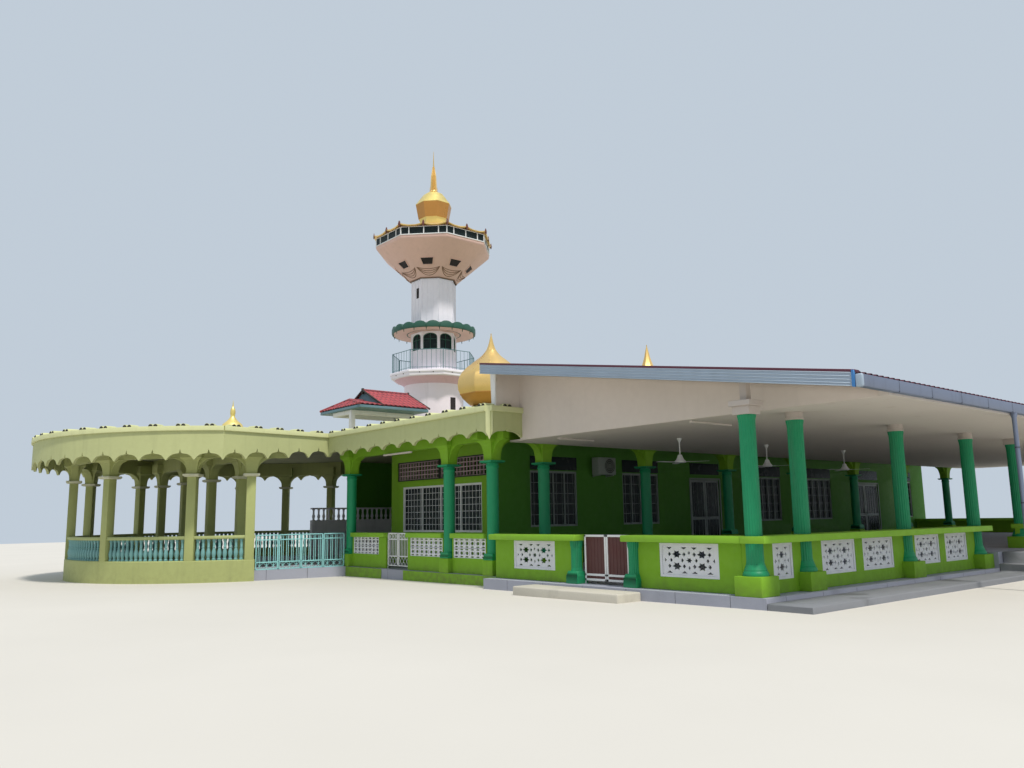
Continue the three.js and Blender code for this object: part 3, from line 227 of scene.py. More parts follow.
def plaster(name, shade, roughness=0.72, grime=0.0, streaks=0.1, grain=GRAIN):
    """Painted cement plaster with trowel marks."""
    paint = Paint(name, PLASTER_IOR)
    tone, mottle = weathered(paint, shade, grime, streaks)
    fine = paint.noise(38.0, 3)
    trowel = paint.noise(3.2, 3, (1.0, 1.0, 1.6))
    paint.bump(fine * 0.35 + trowel, grain * 2)
    return paint.coat(tone, paint.ramp(mottle, 0.25, 0.8, roughness - 0.08, roughness + 0.1))


def cement(name, shade, damp=0.5, tile=None):
    """Bare or tiled cement, stained by rain, with dark joints a tile apart where it is tiled."""
    paint = Paint(name, PLASTER_IOR)
    patches = paint.noise(0.45, 5)
    pores = paint.noise(55.0, 2)
    tone = paint.blend(patches, scaled(shade, 0.72), scaled(shade, 1.2))
    wet = paint.ramp(paint.noise(0.9, 5, (1.0, 1.0, 0.4)), 0.55, 0.72)
    tone = paint.blend(wet * damp, tone, srgb(62, 62, 60))
    tone = paint.blend(paint.ramp(pores, 0.55, 0.8) * 0.3, tone, scaled(shade, 0.55))
    relief = pores * 0.4 + paint.noise(9.0, 4)
    if tile:
        lines = paint.joints("X", tile, 0.012) + paint.joints("Y", tile, 0.012)
        mortar = paint.node("ShaderNodeMath", {"operation": "MINIMUM"}, {0: lines, 1: 1.0})
        tone = paint.blend(mortar * 0.75, tone, srgb(70, 70, 72))
        relief = relief - mortar * 1.5
    paint.bump(relief, 0.004)
    return paint.worn(tone, patches, 0.8, 0.93)


def gloss_paint(name, shade, roughness=0.4, wear=0.25):
    """Oil paint on bars, frames and trim, dulled and chipped in places."""
    paint = Paint(name, PAINT_IOR)
    patches = paint.noise(1.6, 4)
    chips = paint.ramp(paint.noise(21.0, 5), 0.66, 0.72)
    tone = paint.blend(patches, scaled(shade, 0.85), scaled(shade, 1.1))
    tone = paint.blend(chips * wear, tone, srgb(112, 92, 74))
    paint.bump(paint.noise(60.0, 2) - chips * 0.6, 0.0008)
    return paint.worn(tone, patches, roughness - 0.07, roughness + 0.15)


def sheet_metal(name, shade):
    """Painted steel sheet with chalky patches and water marks along its fall."""
    paint = Paint(name, PAINT_IOR)
    patches = paint.noise(0.8, 4)
    marks = paint.ramp(paint.noise(2.0, 5, (0.6, 3.0, 0.6)), 0.5, 0.75)
    tone = paint.blend(patches, scaled(shade, 0.85), scaled(shade, 1.1))
    tone = paint.blend(marks * 0.3, tone, scaled(shade, 0.55))
    paint.bump(paint.noise(45.0, 2), 0.0006)
    return paint.worn(tone, patches, 0.42, 0.6, 0.35)


def gold_leaf(name, shade, roughness=0.3):
    """Gold paint on sheet, brighter where it was rubbed and dull in the laps."""
    paint = Paint(name, PAINT_IOR)
    patches = paint.noise(1.1, 4)
    fine = paint.noise(30.0, 3)
    tone = paint.blend(patches, scaled(shade, 0.82), scaled(shade, 1.15))
    tone = paint.blend(paint.ramp(fine, 0.55, 0.75) * 0.25, tone, srgb(170, 110, 50))
    paint.bump(fine + patches * 2, 0.0015)
    return paint.worn(tone, patches, roughness - 0.06, roughness + 0.14, 0.55)


def clay_tile(name, shade):
    """Glazed roof tiles: each course a little different, with darker laps."""
    paint = Paint(name, PAINT_IOR)
    patches = paint.noise(2.4, 4)
    soot = paint.ramp(paint.noise(5.0, 5), 0.5, 0.75)
    tone = paint.blend(patches, scaled(shade, 0.7), scaled(shade, 1.25))
    tone = paint.blend(soot * 0.5, tone, srgb(112, 56, 62))
    rows = paint.joints("X", 0.29, 0.07) + paint.joints("Y", 0.2, 0.04)
    tone = paint.blend(rows * 0.6, tone, srgb(92, 42, 50))
    paint.bump(paint.noise(40.0, 3), 0.002)
    return paint.worn(tone, patches, 0.5, 0.75)


BOARD = 1.2  # width of a ceiling board; each is twice as long


def board(name, shade):
    """Painted ceiling boards with fine joints and faint yellowing."""
    paint = Paint(name, PLASTER_IOR)
    patches = paint.noise(0.35, 4)
    tone = paint.blend(patches, scaled(shade, 0.9), scaled(shade, 1.07))
    spots = paint.ramp(paint.noise(2.5, 5), 0.6, 0.8)
    tone = paint.blend(spots * 0.3, tone, srgb(160, 140, 112))
    lines = paint.joints("X", BOARD, 0.008) + paint.joints("Y", BOARD * 2, 0.008)
    tone = paint.blend(lines * 0.14, tone, srgb(120, 110, 98))
    paint.bump(paint.noise(30.0, 3) - lines, 0.0015)
    return paint.worn(tone, patches, 0.75, 0.88)


def painted_shade_pane(name):
    """Tinted panes painted near black as painted shade for the dark room behind them, dusty in patches."""
    paint = Paint(name, PANE_IOR)
    dust = paint.ramp(paint.noise(3.0, 4), 0.45, 0.8)
    tone = paint.blend(dust * 0.06, (0.012, 0.02, 0.02, 1.0), srgb(88, 98, 98))
    return paint.coat(tone, paint.ramp(dust, 0.0, 1.0, 0.25, 0.4))


LIME = plaster("lime_plaster", srgb(122, 170, 30), grime=0.5, streaks=0.14)
COPING = plaster("lime_coping", srgb(134, 184, 46), grime=0.1, streaks=0.12)
EMERALD = plaster("emerald_plaster", srgb(14, 142, 92), 0.5, grime=0.3, streaks=0.2, grain=0.0012)
OLIVE = plaster("olive_plaster", srgb(168, 174, 112), grime=0.15, streaks=0.14)
FASCIA = plaster("pale_olive_fascia_plaster", srgb(182, 186, 132))
FASCIA_TRIM = plaster("cream_olive_trim_plaster", srgb(206, 208, 156))
CAPITAL_CREAM = plaster("cream_capital_plaster", srgb(206, 206, 178), streaks=0.15)
SCREEN_WHITE = plaster("white_screen_cement", srgb(222, 222, 226), grime=0.35, streaks=0.12)
BALCONY_WHITE = plaster("pink_white_balcony_plaster", srgb(250, 240, 250), streaks=0.08)
PINK_WHITE = plaster("pale_pink_plaster", srgb(246, 232, 240))
TOWER_WHITE = plaster("grey_white_plaster", srgb(240, 236, 242), streaks=0.12)
FUNNEL_PINK = plaster("pinkish_brown_plaster", srgb(222, 186, 172))
GABLE = plaster("beige_gable_plaster", srgb(208, 197, 187), 0.8, streaks=0.03, grain=0.001)
GREY_CEMENT = cement("grey_stained_cement", srgb(128, 130, 134), 0.55)
FLOOR_TILE = cement("lilac_grey_floor_tile", srgb(160, 162, 174), 0.25, tile=1.2)
STEP_CREAM = cement("cream_step_cement", srgb(196, 190, 176), 0.3)
CEILING = board("beige_ceiling_board", srgb(206, 197, 188))
# Column heads: the ceiling board darkened as painted shade, so that they sink into the shaded ceiling.
HEAD_PAINTED_SHADE = board("head_board_painted_shade", srgb(184, 174, 165))
# Window and door frames under the verandah: a grey copy of the white frame paint, darkened as painted
# shade.
FRAME_PAINTED_SHADE = gloss_paint("window_paint_in_painted_shade", srgb(138, 146, 142), 0.5, 0.25)
LAP_GREY = gloss_paint("dark_grey_lap_paint", srgb(70, 76, 90), 0.5, 0.2)
WHITE_PAINT = gloss_paint("white_gloss_paint", srgb(226, 226, 224), 0.42, 0.35)
TEAL_PAINT = gloss_paint("pale_teal_gloss_paint", srgb(142, 200, 200), 0.4, 0.3)
TEAL_BALUSTER = gloss_paint("teal_baluster_paint", srgb(112, 160, 158), 0.5, 0.2)
RAIL_GREY = gloss_paint("grey_teal_rail_paint", srgb(84, 122, 126), 0.45, 0.3)
BROWN_SHEET = gloss_paint("brown_gate_sheet_paint", srgb(84, 42, 38), 0.5, 0.35)
GREEN_ROOF = gloss_paint("green_roof_paint", srgb(38, 86, 70), 0.5, 0.3)
GREEN_FRAME = gloss_paint("green_window_paint", srgb(30, 88, 70), 0.45, 0.2)
SHEET_BLUE = sheet_metal("pale_blue_roof_sheet", srgb(168, 182, 196))
SHEET_GREY = sheet_metal("grey_gutter_sheet", srgb(120, 130, 152))
SHEET_MAROON = sheet_metal("maroon_cap_sheet", srgb(98, 52, 66))
SHEET_BRIGHT_BLUE = sheet_metal("blue_end_sheet", srgb(70, 130, 190))
GOLD = gold_leaf("dome_gold_paint", srgb(230, 194, 122))
GOLD_PALE = gold_leaf("finial_gold_paint", srgb(240, 216, 132), 0.35)
RED_TILE = clay_tile("red_clay_tile", srgb(172, 72, 76))
SLATE_TEAL = gloss_paint("slate_teal_eaves_paint", srgb(92, 122, 130), 0.5, 0.3)
HORN_BROWN = gloss_paint("dark_red_brown_eaves_paint", srgb(104, 58, 48), 0.55, 0.3)
BLACK_CLAY = gloss_paint("black_tile_end_paint", srgb(44, 42, 34), 0.6, 0.2)
HALL_GREEN = plaster("dark_green_hall_plaster", srgb(74, 134, 36), grime=0.1)
OLIVE_TRIM = plaster("olive_rail_plaster", srgb(166, 174, 116))
PINK_CONE = plaster("pink_flare_plaster", srgb(226, 188, 200))
ROOF_SOFFIT = cement("olive_roof_cement", srgb(168, 170, 132), 0.25)
# Orange gold: on the domes' lower bowls a painted reflection of the roof and ground beneath; the spire's
# belt shares it.
GOLD_ORANGE_REFLECTED = gold_leaf("orange_gold_painted_reflection", srgb(198, 142, 72))
# Openings in the minaret: flat dark plates in place of holes, their dark a painted shade of the insides.
DARK_VOID = gloss_paint("dark_opening", srgb(40, 34, 34), 0.8, 0.1)
VENT_PINK = plaster("pinkish_vent_cement", srgb(170, 150, 148), streaks=0.3)
# Panes in near black: painted shade of the dark rooms behind them.
PANE = painted_shade_pane("dark_window_pane")
MACHINE_GREY = gloss_paint("grey_machine_paint", srgb(150, 158, 150), 0.5, 0.3)
SWAG_BROWN = plaster("brown_swag_plaster", srgb(140, 110, 90))


# Shape toolbox: every shape is a bmesh in plan metres, or in the local frame that moved() places

def face_through(points):
    shape = bmesh.new()
    shape.faces.new([shape.verts.new(point) for point in points])
    return shape


def pushed(shape, way):
    """A flat shape given its thickness: all its faces extruded along a vector."""
    grown = bmesh.ops.extrude_face_region(shape, geom=shape.faces[:])["geom"]
    bmesh.ops.translate(shape, vec=way, verts=[part
                                               for part in grown if isinstance(part, bmesh.types.BMVert)])
    bmesh.ops.recalc_face_normals(shape, faces=shape.faces[:])
    return shape


def upright(points, z0, z1):
    """An outline in plan, raised from z0 to z1."""
    return pushed(face_through([(x, y, z0) for x, y in points]), (0, 0, z1 - z0))


def facing(points, y0, y1):
    """An outline as x and z, running back from y0 to y1."""
    return pushed(face_through([(x, y0, z) for x, z in points]), (0, y1 - y0, 0))


SHARP = 0.5  # angle between faces, in radians, past which an edge is rounded


def softened(shape, width, steps=1):
    """The shape's sharp edges, rounded by width."""
    edges = [edge for edge in shape.edges if len(edge.link_faces) == 2 and edge.calc_face_angle(0) > SHARP]
    bmesh.ops.bevel(shape, geom=edges, offset=width, offset_type="OFFSET", segments=steps, profile=0.5,
                    affect="EDGES", clamp_overlap=True, material=-1)
    return shape


def block(x0, x1, y0, y1, z0, z1, soft=0.006, steps=1):
    shape = bmesh.new()
    bmesh.ops.create_cube(shape, size=1.0)
    bmesh.ops.scale(shape, vec=(x1 - x0, y1 - y0, z1 - z0), verts=shape.verts)
    bmesh.ops.translate(shape, vec=((x0 + x1) / 2, (y0 + y1) / 2, (z0 + z1) / 2), verts=shape.verts)
    return softened(shape, soft, steps) if soft else shape


def turned(profile, sides, phase=0.0, x=0.0, y=0.0):
    """A profile of radii and heights, turned about the vertical through x, y."""
    shape = bmesh.new()
    points = [shape.verts.new((radius * cos(phase), radius * sin(phase), z)) for radius, z in profile]
    edges = [shape.edges.new(pair) for pair in zip(points, points[1:])]
    bmesh.ops.spin(shape, geom=points + edges, axis=(0, 0, 1), cent=(0, 0, 0), angle=2 * pi, steps=sides,
                   use_merge=True, use_duplicate=False)
    bmesh.ops.remove_doubles(shape, verts=shape.verts, dist=0.00005)
    bmesh.ops.recalc_face_normals(shape, faces=shape.faces[:])
    bmesh.ops.translate(shape, vec=(x, y, 0), verts=shape.verts)
    return shape


def lathe(profile, sides, base=0.0, spot=(0.0, 0.0), phase=0.0):
    """A solid turned about the vertical: radii and heights over a base, closed to the axis at both ends."""
    closed = [(0.0, profile[0][1]), *profile, (0.0, profile[-1][1])]
    return turned([(radius, base + z) for radius, z in closed], sides, phase, *spot)


def hoop(inner, outer, low, high, sides, spot=(0.0, 0.0)):
    """A round band between two radii."""
    return turned([(inner, low), (outer, low), (outer, high), (inner, high), (inner, low)], sides, 0.0,
                  *spot)


def stacked(section, levels):
    """A plan outline carried up through levels, each a height and a scale of the outline."""
    shape = bmesh.new()
    height, size = levels[0]
    top = shape.faces.new([shape.verts.new((x * size, y * size, height)) for x, y in section])
    for height, new_size in levels[1:]:
        grown = bmesh.ops.extrude_face_region(shape, geom=[top])["geom"]
        top = [part for part in grown if isinstance(part, bmesh.types.BMFace)][0]
        bmesh.ops.scale(shape, vec=(new_size / size, new_size / size, 1), verts=top.verts)
        bmesh.ops.translate(shape, vec=(0, 0, height - top.verts[0].co.z), verts=top.verts)
        size = new_size
    bmesh.ops.recalc_face_normals(shape, faces=shape.faces[:])
    return shape


def bar(start, end, radius, sides=6, end_radius=None):
    """A round bar between two points."""
    start, end = Vector(start), Vector(end)
    along = end - start
    shape = bmesh.new()
    turn = along.to_track_quat("Z", "Y").to_matrix().to_4x4()
    bmesh.ops.create_cone(shape, cap_ends=True, segments=sides, radius1=radius,
                          radius2=radius if end_radius is None else end_radius, depth=along.length,
                          matrix=Matrix.Translation((start + end) / 2) @ turn)
    return shape


def pierced(outer, holes, y0, y1):
    """A plate with holes: outlines as x and z, running back from y0 to y1."""
    shape = bmesh.new()
    edges = []
    for loop in [outer, *holes]:
        points = [shape.verts.new((x, y0, z)) for x, z in loop]
        edges += [shape.edges.new(pair) for pair in zip(points, points[1:] + points[:1])]
    bmesh.ops.triangle_fill(shape, use_beauty=True, use_dissolve=False, edges=edges, normal=(0, -1, 0))
    return pushed(shape, (0, y1 - y0, 0))


def rectangle(x0, x1, z0, z1):
    return [(x0, z0), (x1, z0), (x1, z1), (x0, z1)]


def rimmed(x0, x1, z0, z1, rim, y0, y1):
    """A rectangular rim, running back from y0 to y1."""
    return pierced(rectangle(x0, x1, z0, z1), [rectangle(x0 + rim, x1 - rim, z0 + rim, z1 - rim)], y0, y1)


def moved(shape, x=0.0, y=0.0, z=0.0, turn=0.0):
    """The shape turned about the vertical by degrees, then moved."""
    place = Matrix.Translation((x, y, z)) @ Matrix.Rotation(radians(turn), 4, "Z")
    bmesh.ops.transform(shape, matrix=place, verts=shape.verts)
    return shape


def placed(shapes, x=0.0, y=0.0, z=0.0, turn=0.0):
    return [moved(shape, x, y, z, turn) for shape in shapes]


def set_round(shapes, centre, reach, turn):
    """Shapes made facing the street at x = 0, y = 0, set out from a centre and turned about it."""
    return placed(placed(placed(shapes, 0, -reach), turn=turn), *centre)


def tipped(shape, angle, letter, about=(0, 0, 0)):
    """The shape turned by degrees about one axis through a point."""
    bmesh.ops.rotate(shape, cent=about, matrix=Matrix.Rotation(radians(angle), 3, letter),
                     verts=shape.verts)
    return shape


def solid_of(node, soft):
    """A node's own solid with merged faces and softened edges."""
    shape = bmesh.new()
    shape.from_mesh(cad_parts[node].data)
    bmesh.ops.translate(shape, vec=-SHIFT, verts=shape.verts)
    bmesh.ops.remove_doubles(shape, verts=shape.verts, dist=0.0001)
    bmesh.ops.dissolve_limit(shape, angle_limit=0.02, verts=shape.verts, edges=shape.edges)
    return softened(shape, soft)


SMOOTH_BELOW = radians(38)


def piece(name, shapes, finish, replaces=(), body=BUILDING):
    """Shapes joined into one finished piece that rides on a body."""
    whole = bmesh.new()
    carrier = bpy.data.meshes.new(name)
    for shape in shapes:
        shape.to_mesh(carrier)
        whole.from_mesh(carrier)
        shape.free()
    bmesh.ops.translate(whole, vec=SHIFT, verts=whole.verts)
    whole.to_mesh(carrier)
    whole.free()
    carrier.shade_smooth()
    carrier.set_sharp_from_angle(angle=SMOOTH_BELOW)
    carrier.materials.append(finish)
    made = bpy.data.objects.new(name, carrier)
    bpy.context.scene.collection.objects.link(made)
    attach(made, body)
    if replaces:
        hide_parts(*replaces)
    return made


def finished(node, finish):
    """A node that keeps its own solid and gets its finish."""
    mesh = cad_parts[node].data
    mesh.materials.clear()
    mesh.materials.append(finish)


def dress_solid(name, node, soft, finish):
    """A piece made of its node's own solid."""
    piece(name, [solid_of(node, soft)], finish, [node])


def spread(start, end, pitch):
    """Places a pitch apart, or nearly, that divide start..end evenly."""
    count = max(1, round(abs(end - start) / pitch))
    return [start + (end - start) * (i + 0.5) / count for i in range(count)]


# Low walls, pierced screens and copings

SCREEN_LOW, SCREEN_HIGH = 0.43, 1.06
WALL_DEPTH = 0.12
STAR_ACROSS, STAR_UP = 0.58, 0.221  # pitch of the large stars in a screen


STAR_POINTS = 6


def star(x, z, wide, high, waist=0.56):
    """A star's outline with points to both sides."""
    loop = []
    for i in range(STAR_POINTS * 2):
        angle = pi * i / STAR_POINTS
        reach = 1.0 if i % 2 == 0 else waist
        loop.append((x + wide * reach * cos(angle), z + high * reach * sin(angle)))
    return loop


def rhomb(x, z, wide, high):
    return [(x - wide, z), (x, z - high), (x + wide, z), (x, z + high)]


def star_screen(width, low, high):
    """A moulded cement screen of stars: x from 0 to width, its face at y = 0."""
    side, edge = 0.1, 0.075
    columns = max(1, round((width - 2 * side) / STAR_ACROSS))
    across = (width - 2 * side) / columns
    share = across / STAR_ACROSS
    middle = (low + high) / 2
    up = STAR_UP / 2
    holes = []
    for column in range(columns + 1):
        between = side + across * column
        if 0 < column < columns:
            holes.append(star(between, middle, 0.072 * share, 0.058))
            holes += [rhomb(between, z, 0.028, 0.044) for z in (middle - up * 1.25, middle + up * 1.25)]
        else:
            outward = 1 if column == 0 else -1
            holes.append([(between + outward * a, middle + z) for a, z in
                          ((0.004, -0.042), (0.03, -0.022), (0.052, 0.0), (0.03, 0.022), (0.004, 0.042))])
    for column in range(columns):
        x = side + across * (column + 0.5)
        for way in (-1, 1):
            z = middle + way * up
            roof = high - edge if way > 0 else low + edge
            holes.append(star(x, z, 0.112 * share, 0.082, 0.6))
            for tip in (x - 0.172 * share, x + 0.172 * share):
                holes.append(rhomb(tip, z, 0.042 * share, 0.045))
                holes.append([(tip - 0.07 * share, roof), (tip, roof - way * 0.045),
                              (tip + 0.07 * share, roof)])
        holes += [rhomb(x + way * 0.13 * share, middle, 0.036 * share, 0.044) for way in (-1, 1)]
    outline = rectangle(0.0, width, low, high)
    opening = rectangle(side * 0.55, width - side * 0.55, low + edge * 0.6, high - edge * 0.6)
    return [pierced(outline, holes, 0.03, 0.055), pierced(outline, [opening], 0.012, 0.031)]


def star_screens(name, spans, line, turn, low=SCREEN_LOW, high=SCREEN_HIGH):
    """A piece with the screens of a wall: spans along the wall, and the line that it stands on."""
    screens = []
    for a, b in spans:
        x, y = (a, line) if turn == STREET else (line, a)
        screens += placed(star_screen(b - a, low, high), x, y, 0, turn)
    piece(name, screens, SCREEN_WHITE)


def screened_wall(start, end, bottom, screens, low=SCREEN_LOW, high=SCREEN_HIGH):
    """A low wall from start to end with openings for its screens, its face at y = 0."""
    openings = [rectangle(a, b, low, high) for a, b in screens]
    return softened(pierced(rectangle(start, end, bottom, COPING_BOTTOM + 0.001), openings, 0.0,
                            WALL_DEPTH), 0.006)


def coping(x0, x1, y0, y1):
    return block(x0, x1, y0, y1, COPING_BOTTOM, COPING_TOP, 0.014, 2)


COLUMN_X = -0.33
COLUMN_YS = (0.195, 1.75, 5.8, 9.48)
COLUMN_RADIUS = 0.15
FLUTES = 20
HEAD_BOTTOM = 3.32
PEDESTAL_TOP = 0.53


def fluted_section(radius, depth):
    """A round outline with shallow flutes between narrow ribs."""
    loop = []
    for i in range(FLUTES * 4):
        dip = depth if i % 4 in (1, 2) else 0.0
        angle = 2 * pi * i / (FLUTES * 4)
        loop.append(((radius - dip) * cos(angle), (radius - dip) * sin(angle)))
    return loop


SQUARE = ((-1, -1), (1, -1), (1, 1), (-1, 1))


def pedestal(half, low, high):
    """A square post with well rounded edges."""
    return softened(stacked(SQUARE, [(low, half), (high, half)]), 0.012, 2)


def square_block(half, low, high):
    return block(-half, half, -half, half, low, high)


def fluted_column(bottom):
    """A fluted shaft that swells under its head, on a round base in two flared tiers."""
    shaft = stacked(fluted_section(COLUMN_RADIUS, 0.009), [
        (bottom + 0.18, 1.06), (bottom + 0.24, 1.0), (HEAD_BOTTOM - 0.16, 0.97), (HEAD_BOTTOM - 0.09, 1.0),
        (HEAD_BOTTOM - 0.03, 1.09), (HEAD_BOTTOM, 1.1)])
    base = lathe([(0.222, 0.0), (0.226, 0.03), (0.205, 0.075), (0.192, 0.088), (0.196, 0.1), (0.178, 0.14),
                  (0.162, 0.19)], 32, bottom)
    return [shaft, base]


HEAD_SLAB = (3.47, 3.57)  # bottom and top of the slab on the first column's head


def make_verandah_columns():
    for number, y in enumerate(COLUMN_YS, 1):
        node = f"verandah_column_{number}"
        head_top = plan_box(node)[1].z
        piece(f"fluted_{node}", placed(fluted_column(PEDESTAL_TOP + GAP), COLUMN_X, y), EMERALD,
              [node])
        if number == 1:
            slab_low, slab_high = HEAD_SLAB
            heads = [square_block(0.175, HEAD_BOTTOM, slab_low + OVERLAP),
                     square_block(0.22, slab_low, slab_high),
                     square_block(0.07, slab_high - OVERLAP, head_top)]
        else:
            outline = [(0.172, 0.0), (0.172, 0.04), (0.155, 0.05), (0.155, head_top - HEAD_BOTTOM)]
            heads = [lathe(outline, 32, HEAD_BOTTOM)]
        # The heads take the ceiling board darkened as painted shade.
        piece(f"{node}_head", placed(heads, COLUMN_X, y), HEAD_PAINTED_SHADE)


SIDE_SCREENS = ((0.70, 1.34), (2.33, 3.59), (3.89, 5.18), (6.19, 7.40), (7.70, 8.89))
SIDE_WALL_X = -0.30
FRONT_WALL_Y = 0.22
GATE_LEFT, GATE_RIGHT = -4.60, -3.29
FRONT_SCREENS = {"right": (-2.48, -1.11), "left": (-6.82, -5.43)}
JOG_X = -7.48
CORNER_FACE = -7.8997  # right face of the canopy's corner pedestal


def make_side_parapet():
    on_floor = FLOOR + GAP
    walls = [moved(screened_wall(FRONT_WALL_Y, 9.7, on_floor, SIDE_SCREENS), SIDE_WALL_X, 0, 0, RIGHT)]
    walls += [moved(pedestal(0.272, on_floor, PEDESTAL_TOP), COLUMN_X + 0.005, y) for y in COLUMN_YS]
    walls.append(block(-0.62, -0.42, FRONT_WALL_Y, FRONT_WALL_Y + WALL_DEPTH, on_floor, COPING_BOTTOM))
    piece("side_low_wall", walls, LIME, ["side_parapet"])
    piece("side_coping", coping_round_columns(), COPING)
    star_screens("side_star_screens", SIDE_SCREENS, SIDE_WALL_X, RIGHT)


def coping_round_columns():
    """The side coping, notched round the shafts that rise through its inner half."""
    notch = 0.175
    points = [(0.0, 0.0), (0.0, 9.72), (-0.5, 9.72)]
    for y in reversed(COLUMN_YS):
        low = max(0.0, y - notch)
        points += [(-0.5, y + notch), (COLUMN_X + notch, y + notch), (COLUMN_X + notch, low), (-0.5, low)]
    if points[-1][1] > 0.0:
        points.append((-0.5, 0.0))
    return [softened(upright(points, COPING_BOTTOM, COPING_TOP), 0.012, 2)]


def gate_post(x):
    """A half-round fluted post with a collar under the coping and a flared foot."""
    on_floor = FLOOR + GAP
    shaft = stacked(fluted_section(0.118, 0.008), [(on_floor + 0.24, 1.12), (on_floor + 0.32, 1.0),
                                                  (COPING_BOTTOM - 0.16, 1.0), (COPING_BOTTOM - 0.1, 1.12),
                                                  (COPING_BOTTOM, 1.16)])
    foot = softened(stacked(SQUARE, [(on_floor, 0.168), (on_floor + 0.16, 0.166),
                                     (on_floor + 0.26, 0.135)]), 0.006)
    return placed([shaft, foot], x, 0.23)


def make_front_parapets():
    on_floor = FLOOR + GAP
    right = [moved(screened_wall(GATE_RIGHT + 0.08, -0.6203, on_floor, [FRONT_SCREENS["right"]]), 0,
                   FRONT_WALL_Y)]
    piece("front_low_wall_right", right, LIME, ["front_parapet_right"])
    left = [moved(screened_wall(JOG_X, GATE_LEFT - 0.08, on_floor, [FRONT_SCREENS["left"]]), 0,
                  FRONT_WALL_Y),
            block(JOG_X, JOG_X + 0.12, FRONT_WALL_Y + 0.1, 0.71, on_floor, COPING_BOTTOM),
            block(CORNER_FACE, JOG_X + 0.01, 0.59, 0.71, on_floor, COPING_BOTTOM)]
    piece("front_low_wall_left", left, LIME, ["front_parapet_left"])
    piece("front_coping_right", [coping(GATE_RIGHT, -0.5003, 0.0, 0.5)], COPING)
    corner = upright([(JOG_X, 0.0), (GATE_LEFT, 0.0), (GATE_LEFT, 0.5), (JOG_X + 0.15, 0.5),
                      (JOG_X + 0.15, 0.8),
                      (CORNER_FACE, 0.8), (CORNER_FACE, 0.5), (JOG_X, 0.5)], COPING_BOTTOM, COPING_TOP)
    piece("front_coping_left", [softened(corner, 0.014, 2)], COPING)
    piece("gate_posts", gate_post(GATE_LEFT - 0.16) + gate_post(GATE_RIGHT + 0.16), EMERALD)
    star_screens("front_star_screens", FRONT_SCREENS.values(), FRONT_WALL_Y, STREET)


REAR_COLUMN_YS = (12.5, 17.6, 22.8, 28.0)
REAR_SCREENS = tuple((y, y + 1.25) for y in (14.4, 19.6, 24.8))
HALL_RIGHT = -10.30


REAR_WALL = (12.3, 28.6)
REAR_PEDESTAL_TOP = RAISED + 0.3


def make_rear_parapet():
    on_raised = RAISED + GAP
    start, end = REAR_WALL
    low, high = RAISED + 0.1, COPING_BOTTOM - 0.04
    openings = [rectangle(a, b, low, high) for a, b in REAR_SCREENS]
    wall = softened(pierced(rectangle(start, end, on_raised, COPING_BOTTOM), openings, 0.0, WALL_DEPTH),
                    0.006)
    walls = [moved(wall, SIDE_WALL_X, 0, 0, RIGHT),
             block(HALL_RIGHT + GAP, -0.4, end - WALL_DEPTH, end, on_raised, COPING_BOTTOM)]
    walls += [moved(pedestal(0.27, on_raised, REAR_PEDESTAL_TOP), COLUMN_X, y) for y in REAR_COLUMN_YS]
    piece("rear_low_walls", walls, LIME, ["rear_parapet"])
    piece("rear_copings", [coping(-0.5, 0.0, start, end + 0.1),
                           coping(HALL_RIGHT + GAP, -0.4, end - 0.3, end + 0.1)],
          COPING)
    star_screens("rear_star_screens", REAR_SCREENS, SIDE_WALL_X, RIGHT, low, high)
    columns = []
    heads = []
    for y in REAR_COLUMN_YS:
        columns += placed(fluted_column(REAR_PEDESTAL_TOP), COLUMN_X, y)
        heads.append(block(COLUMN_X - 0.16, COLUMN_X + 0.16, y - 0.16, y + 0.16, HEAD_BOTTOM, SOFFIT - GAP,
                           0.005))
    piece("rear_columns", columns, EMERALD)
    # The rear heads take the same ceiling board darkened as painted shade.
    piece("rear_column_heads", heads, HEAD_PAINTED_SHADE)


# Gate leaves

GATE_Y, LEAF, PIVOT, PIN = 0.30, 0.04, 0.03, 0.012


def leaf_frame(x0, x1, half, heights, thick, bottom, top, wide):
    """Rails that start at the given heights, between two stiles."""
    rails = [block(x0, x1, -half, half, z, z + thick, 0.004) for z in heights]
    return rails + [block(x, x + wide, -half, half, bottom, top, 0.004) for x in (x0, x1 - wide)]


def crossed(x, reach, z0, z1, radius):
    """Two thin bars that cross in a panel."""
    return [bar((x - reach, 0, a), (x + reach, 0, b), radius, 4) for a, b in ((z0, z1), (z1, z0))]


def sheet_leaf(reach, way):
    """A gate leaf from its pivot at x = 0: white frame and ribbed brown sheet."""
    bottom, top = FLOOR + 0.07, COPING_TOP
    wide = 0.045
    x0, x1 = sorted((0.0, way * reach))
    bars = leaf_frame(x0, x1, LEAF / 2, (bottom, bottom + 0.1, top - wide), wide, bottom, top, wide)
    bars.append(bar((0, 0, FLOOR + GAP), (0, 0, bottom + 0.02), PIN, 12))
    ribs = []
    for i, x in enumerate(spread(x0 + wide, x1 - wide, 0.05)):
        depth = 0.007 if i % 2 else 0.013
        ribs.append(block(x - 0.025, x + 0.025, -depth, depth, bottom + 0.02, top - 0.02, 0.004))
    return bars, ribs


def make_front_gate():
    reach = (GATE_RIGHT - GATE_LEFT) / 2 - PIVOT - 0.006
    for side, x, way in (("left", GATE_LEFT + PIVOT, 1), ("right", GATE_RIGHT - PIVOT, -1)):
        body = f"front_gate_{side}"
        frame_bars, ribs = sheet_leaf(reach, way)
        piece(f"{body}_frame", placed(frame_bars, x, GATE_Y), WHITE_PAINT, [f"{body}_leaf"],
              body)
        piece(f"{body}_sheet", placed(ribs, x, GATE_Y), BROWN_SHEET, (), body)


# Verandah roof, gutter and ceiling

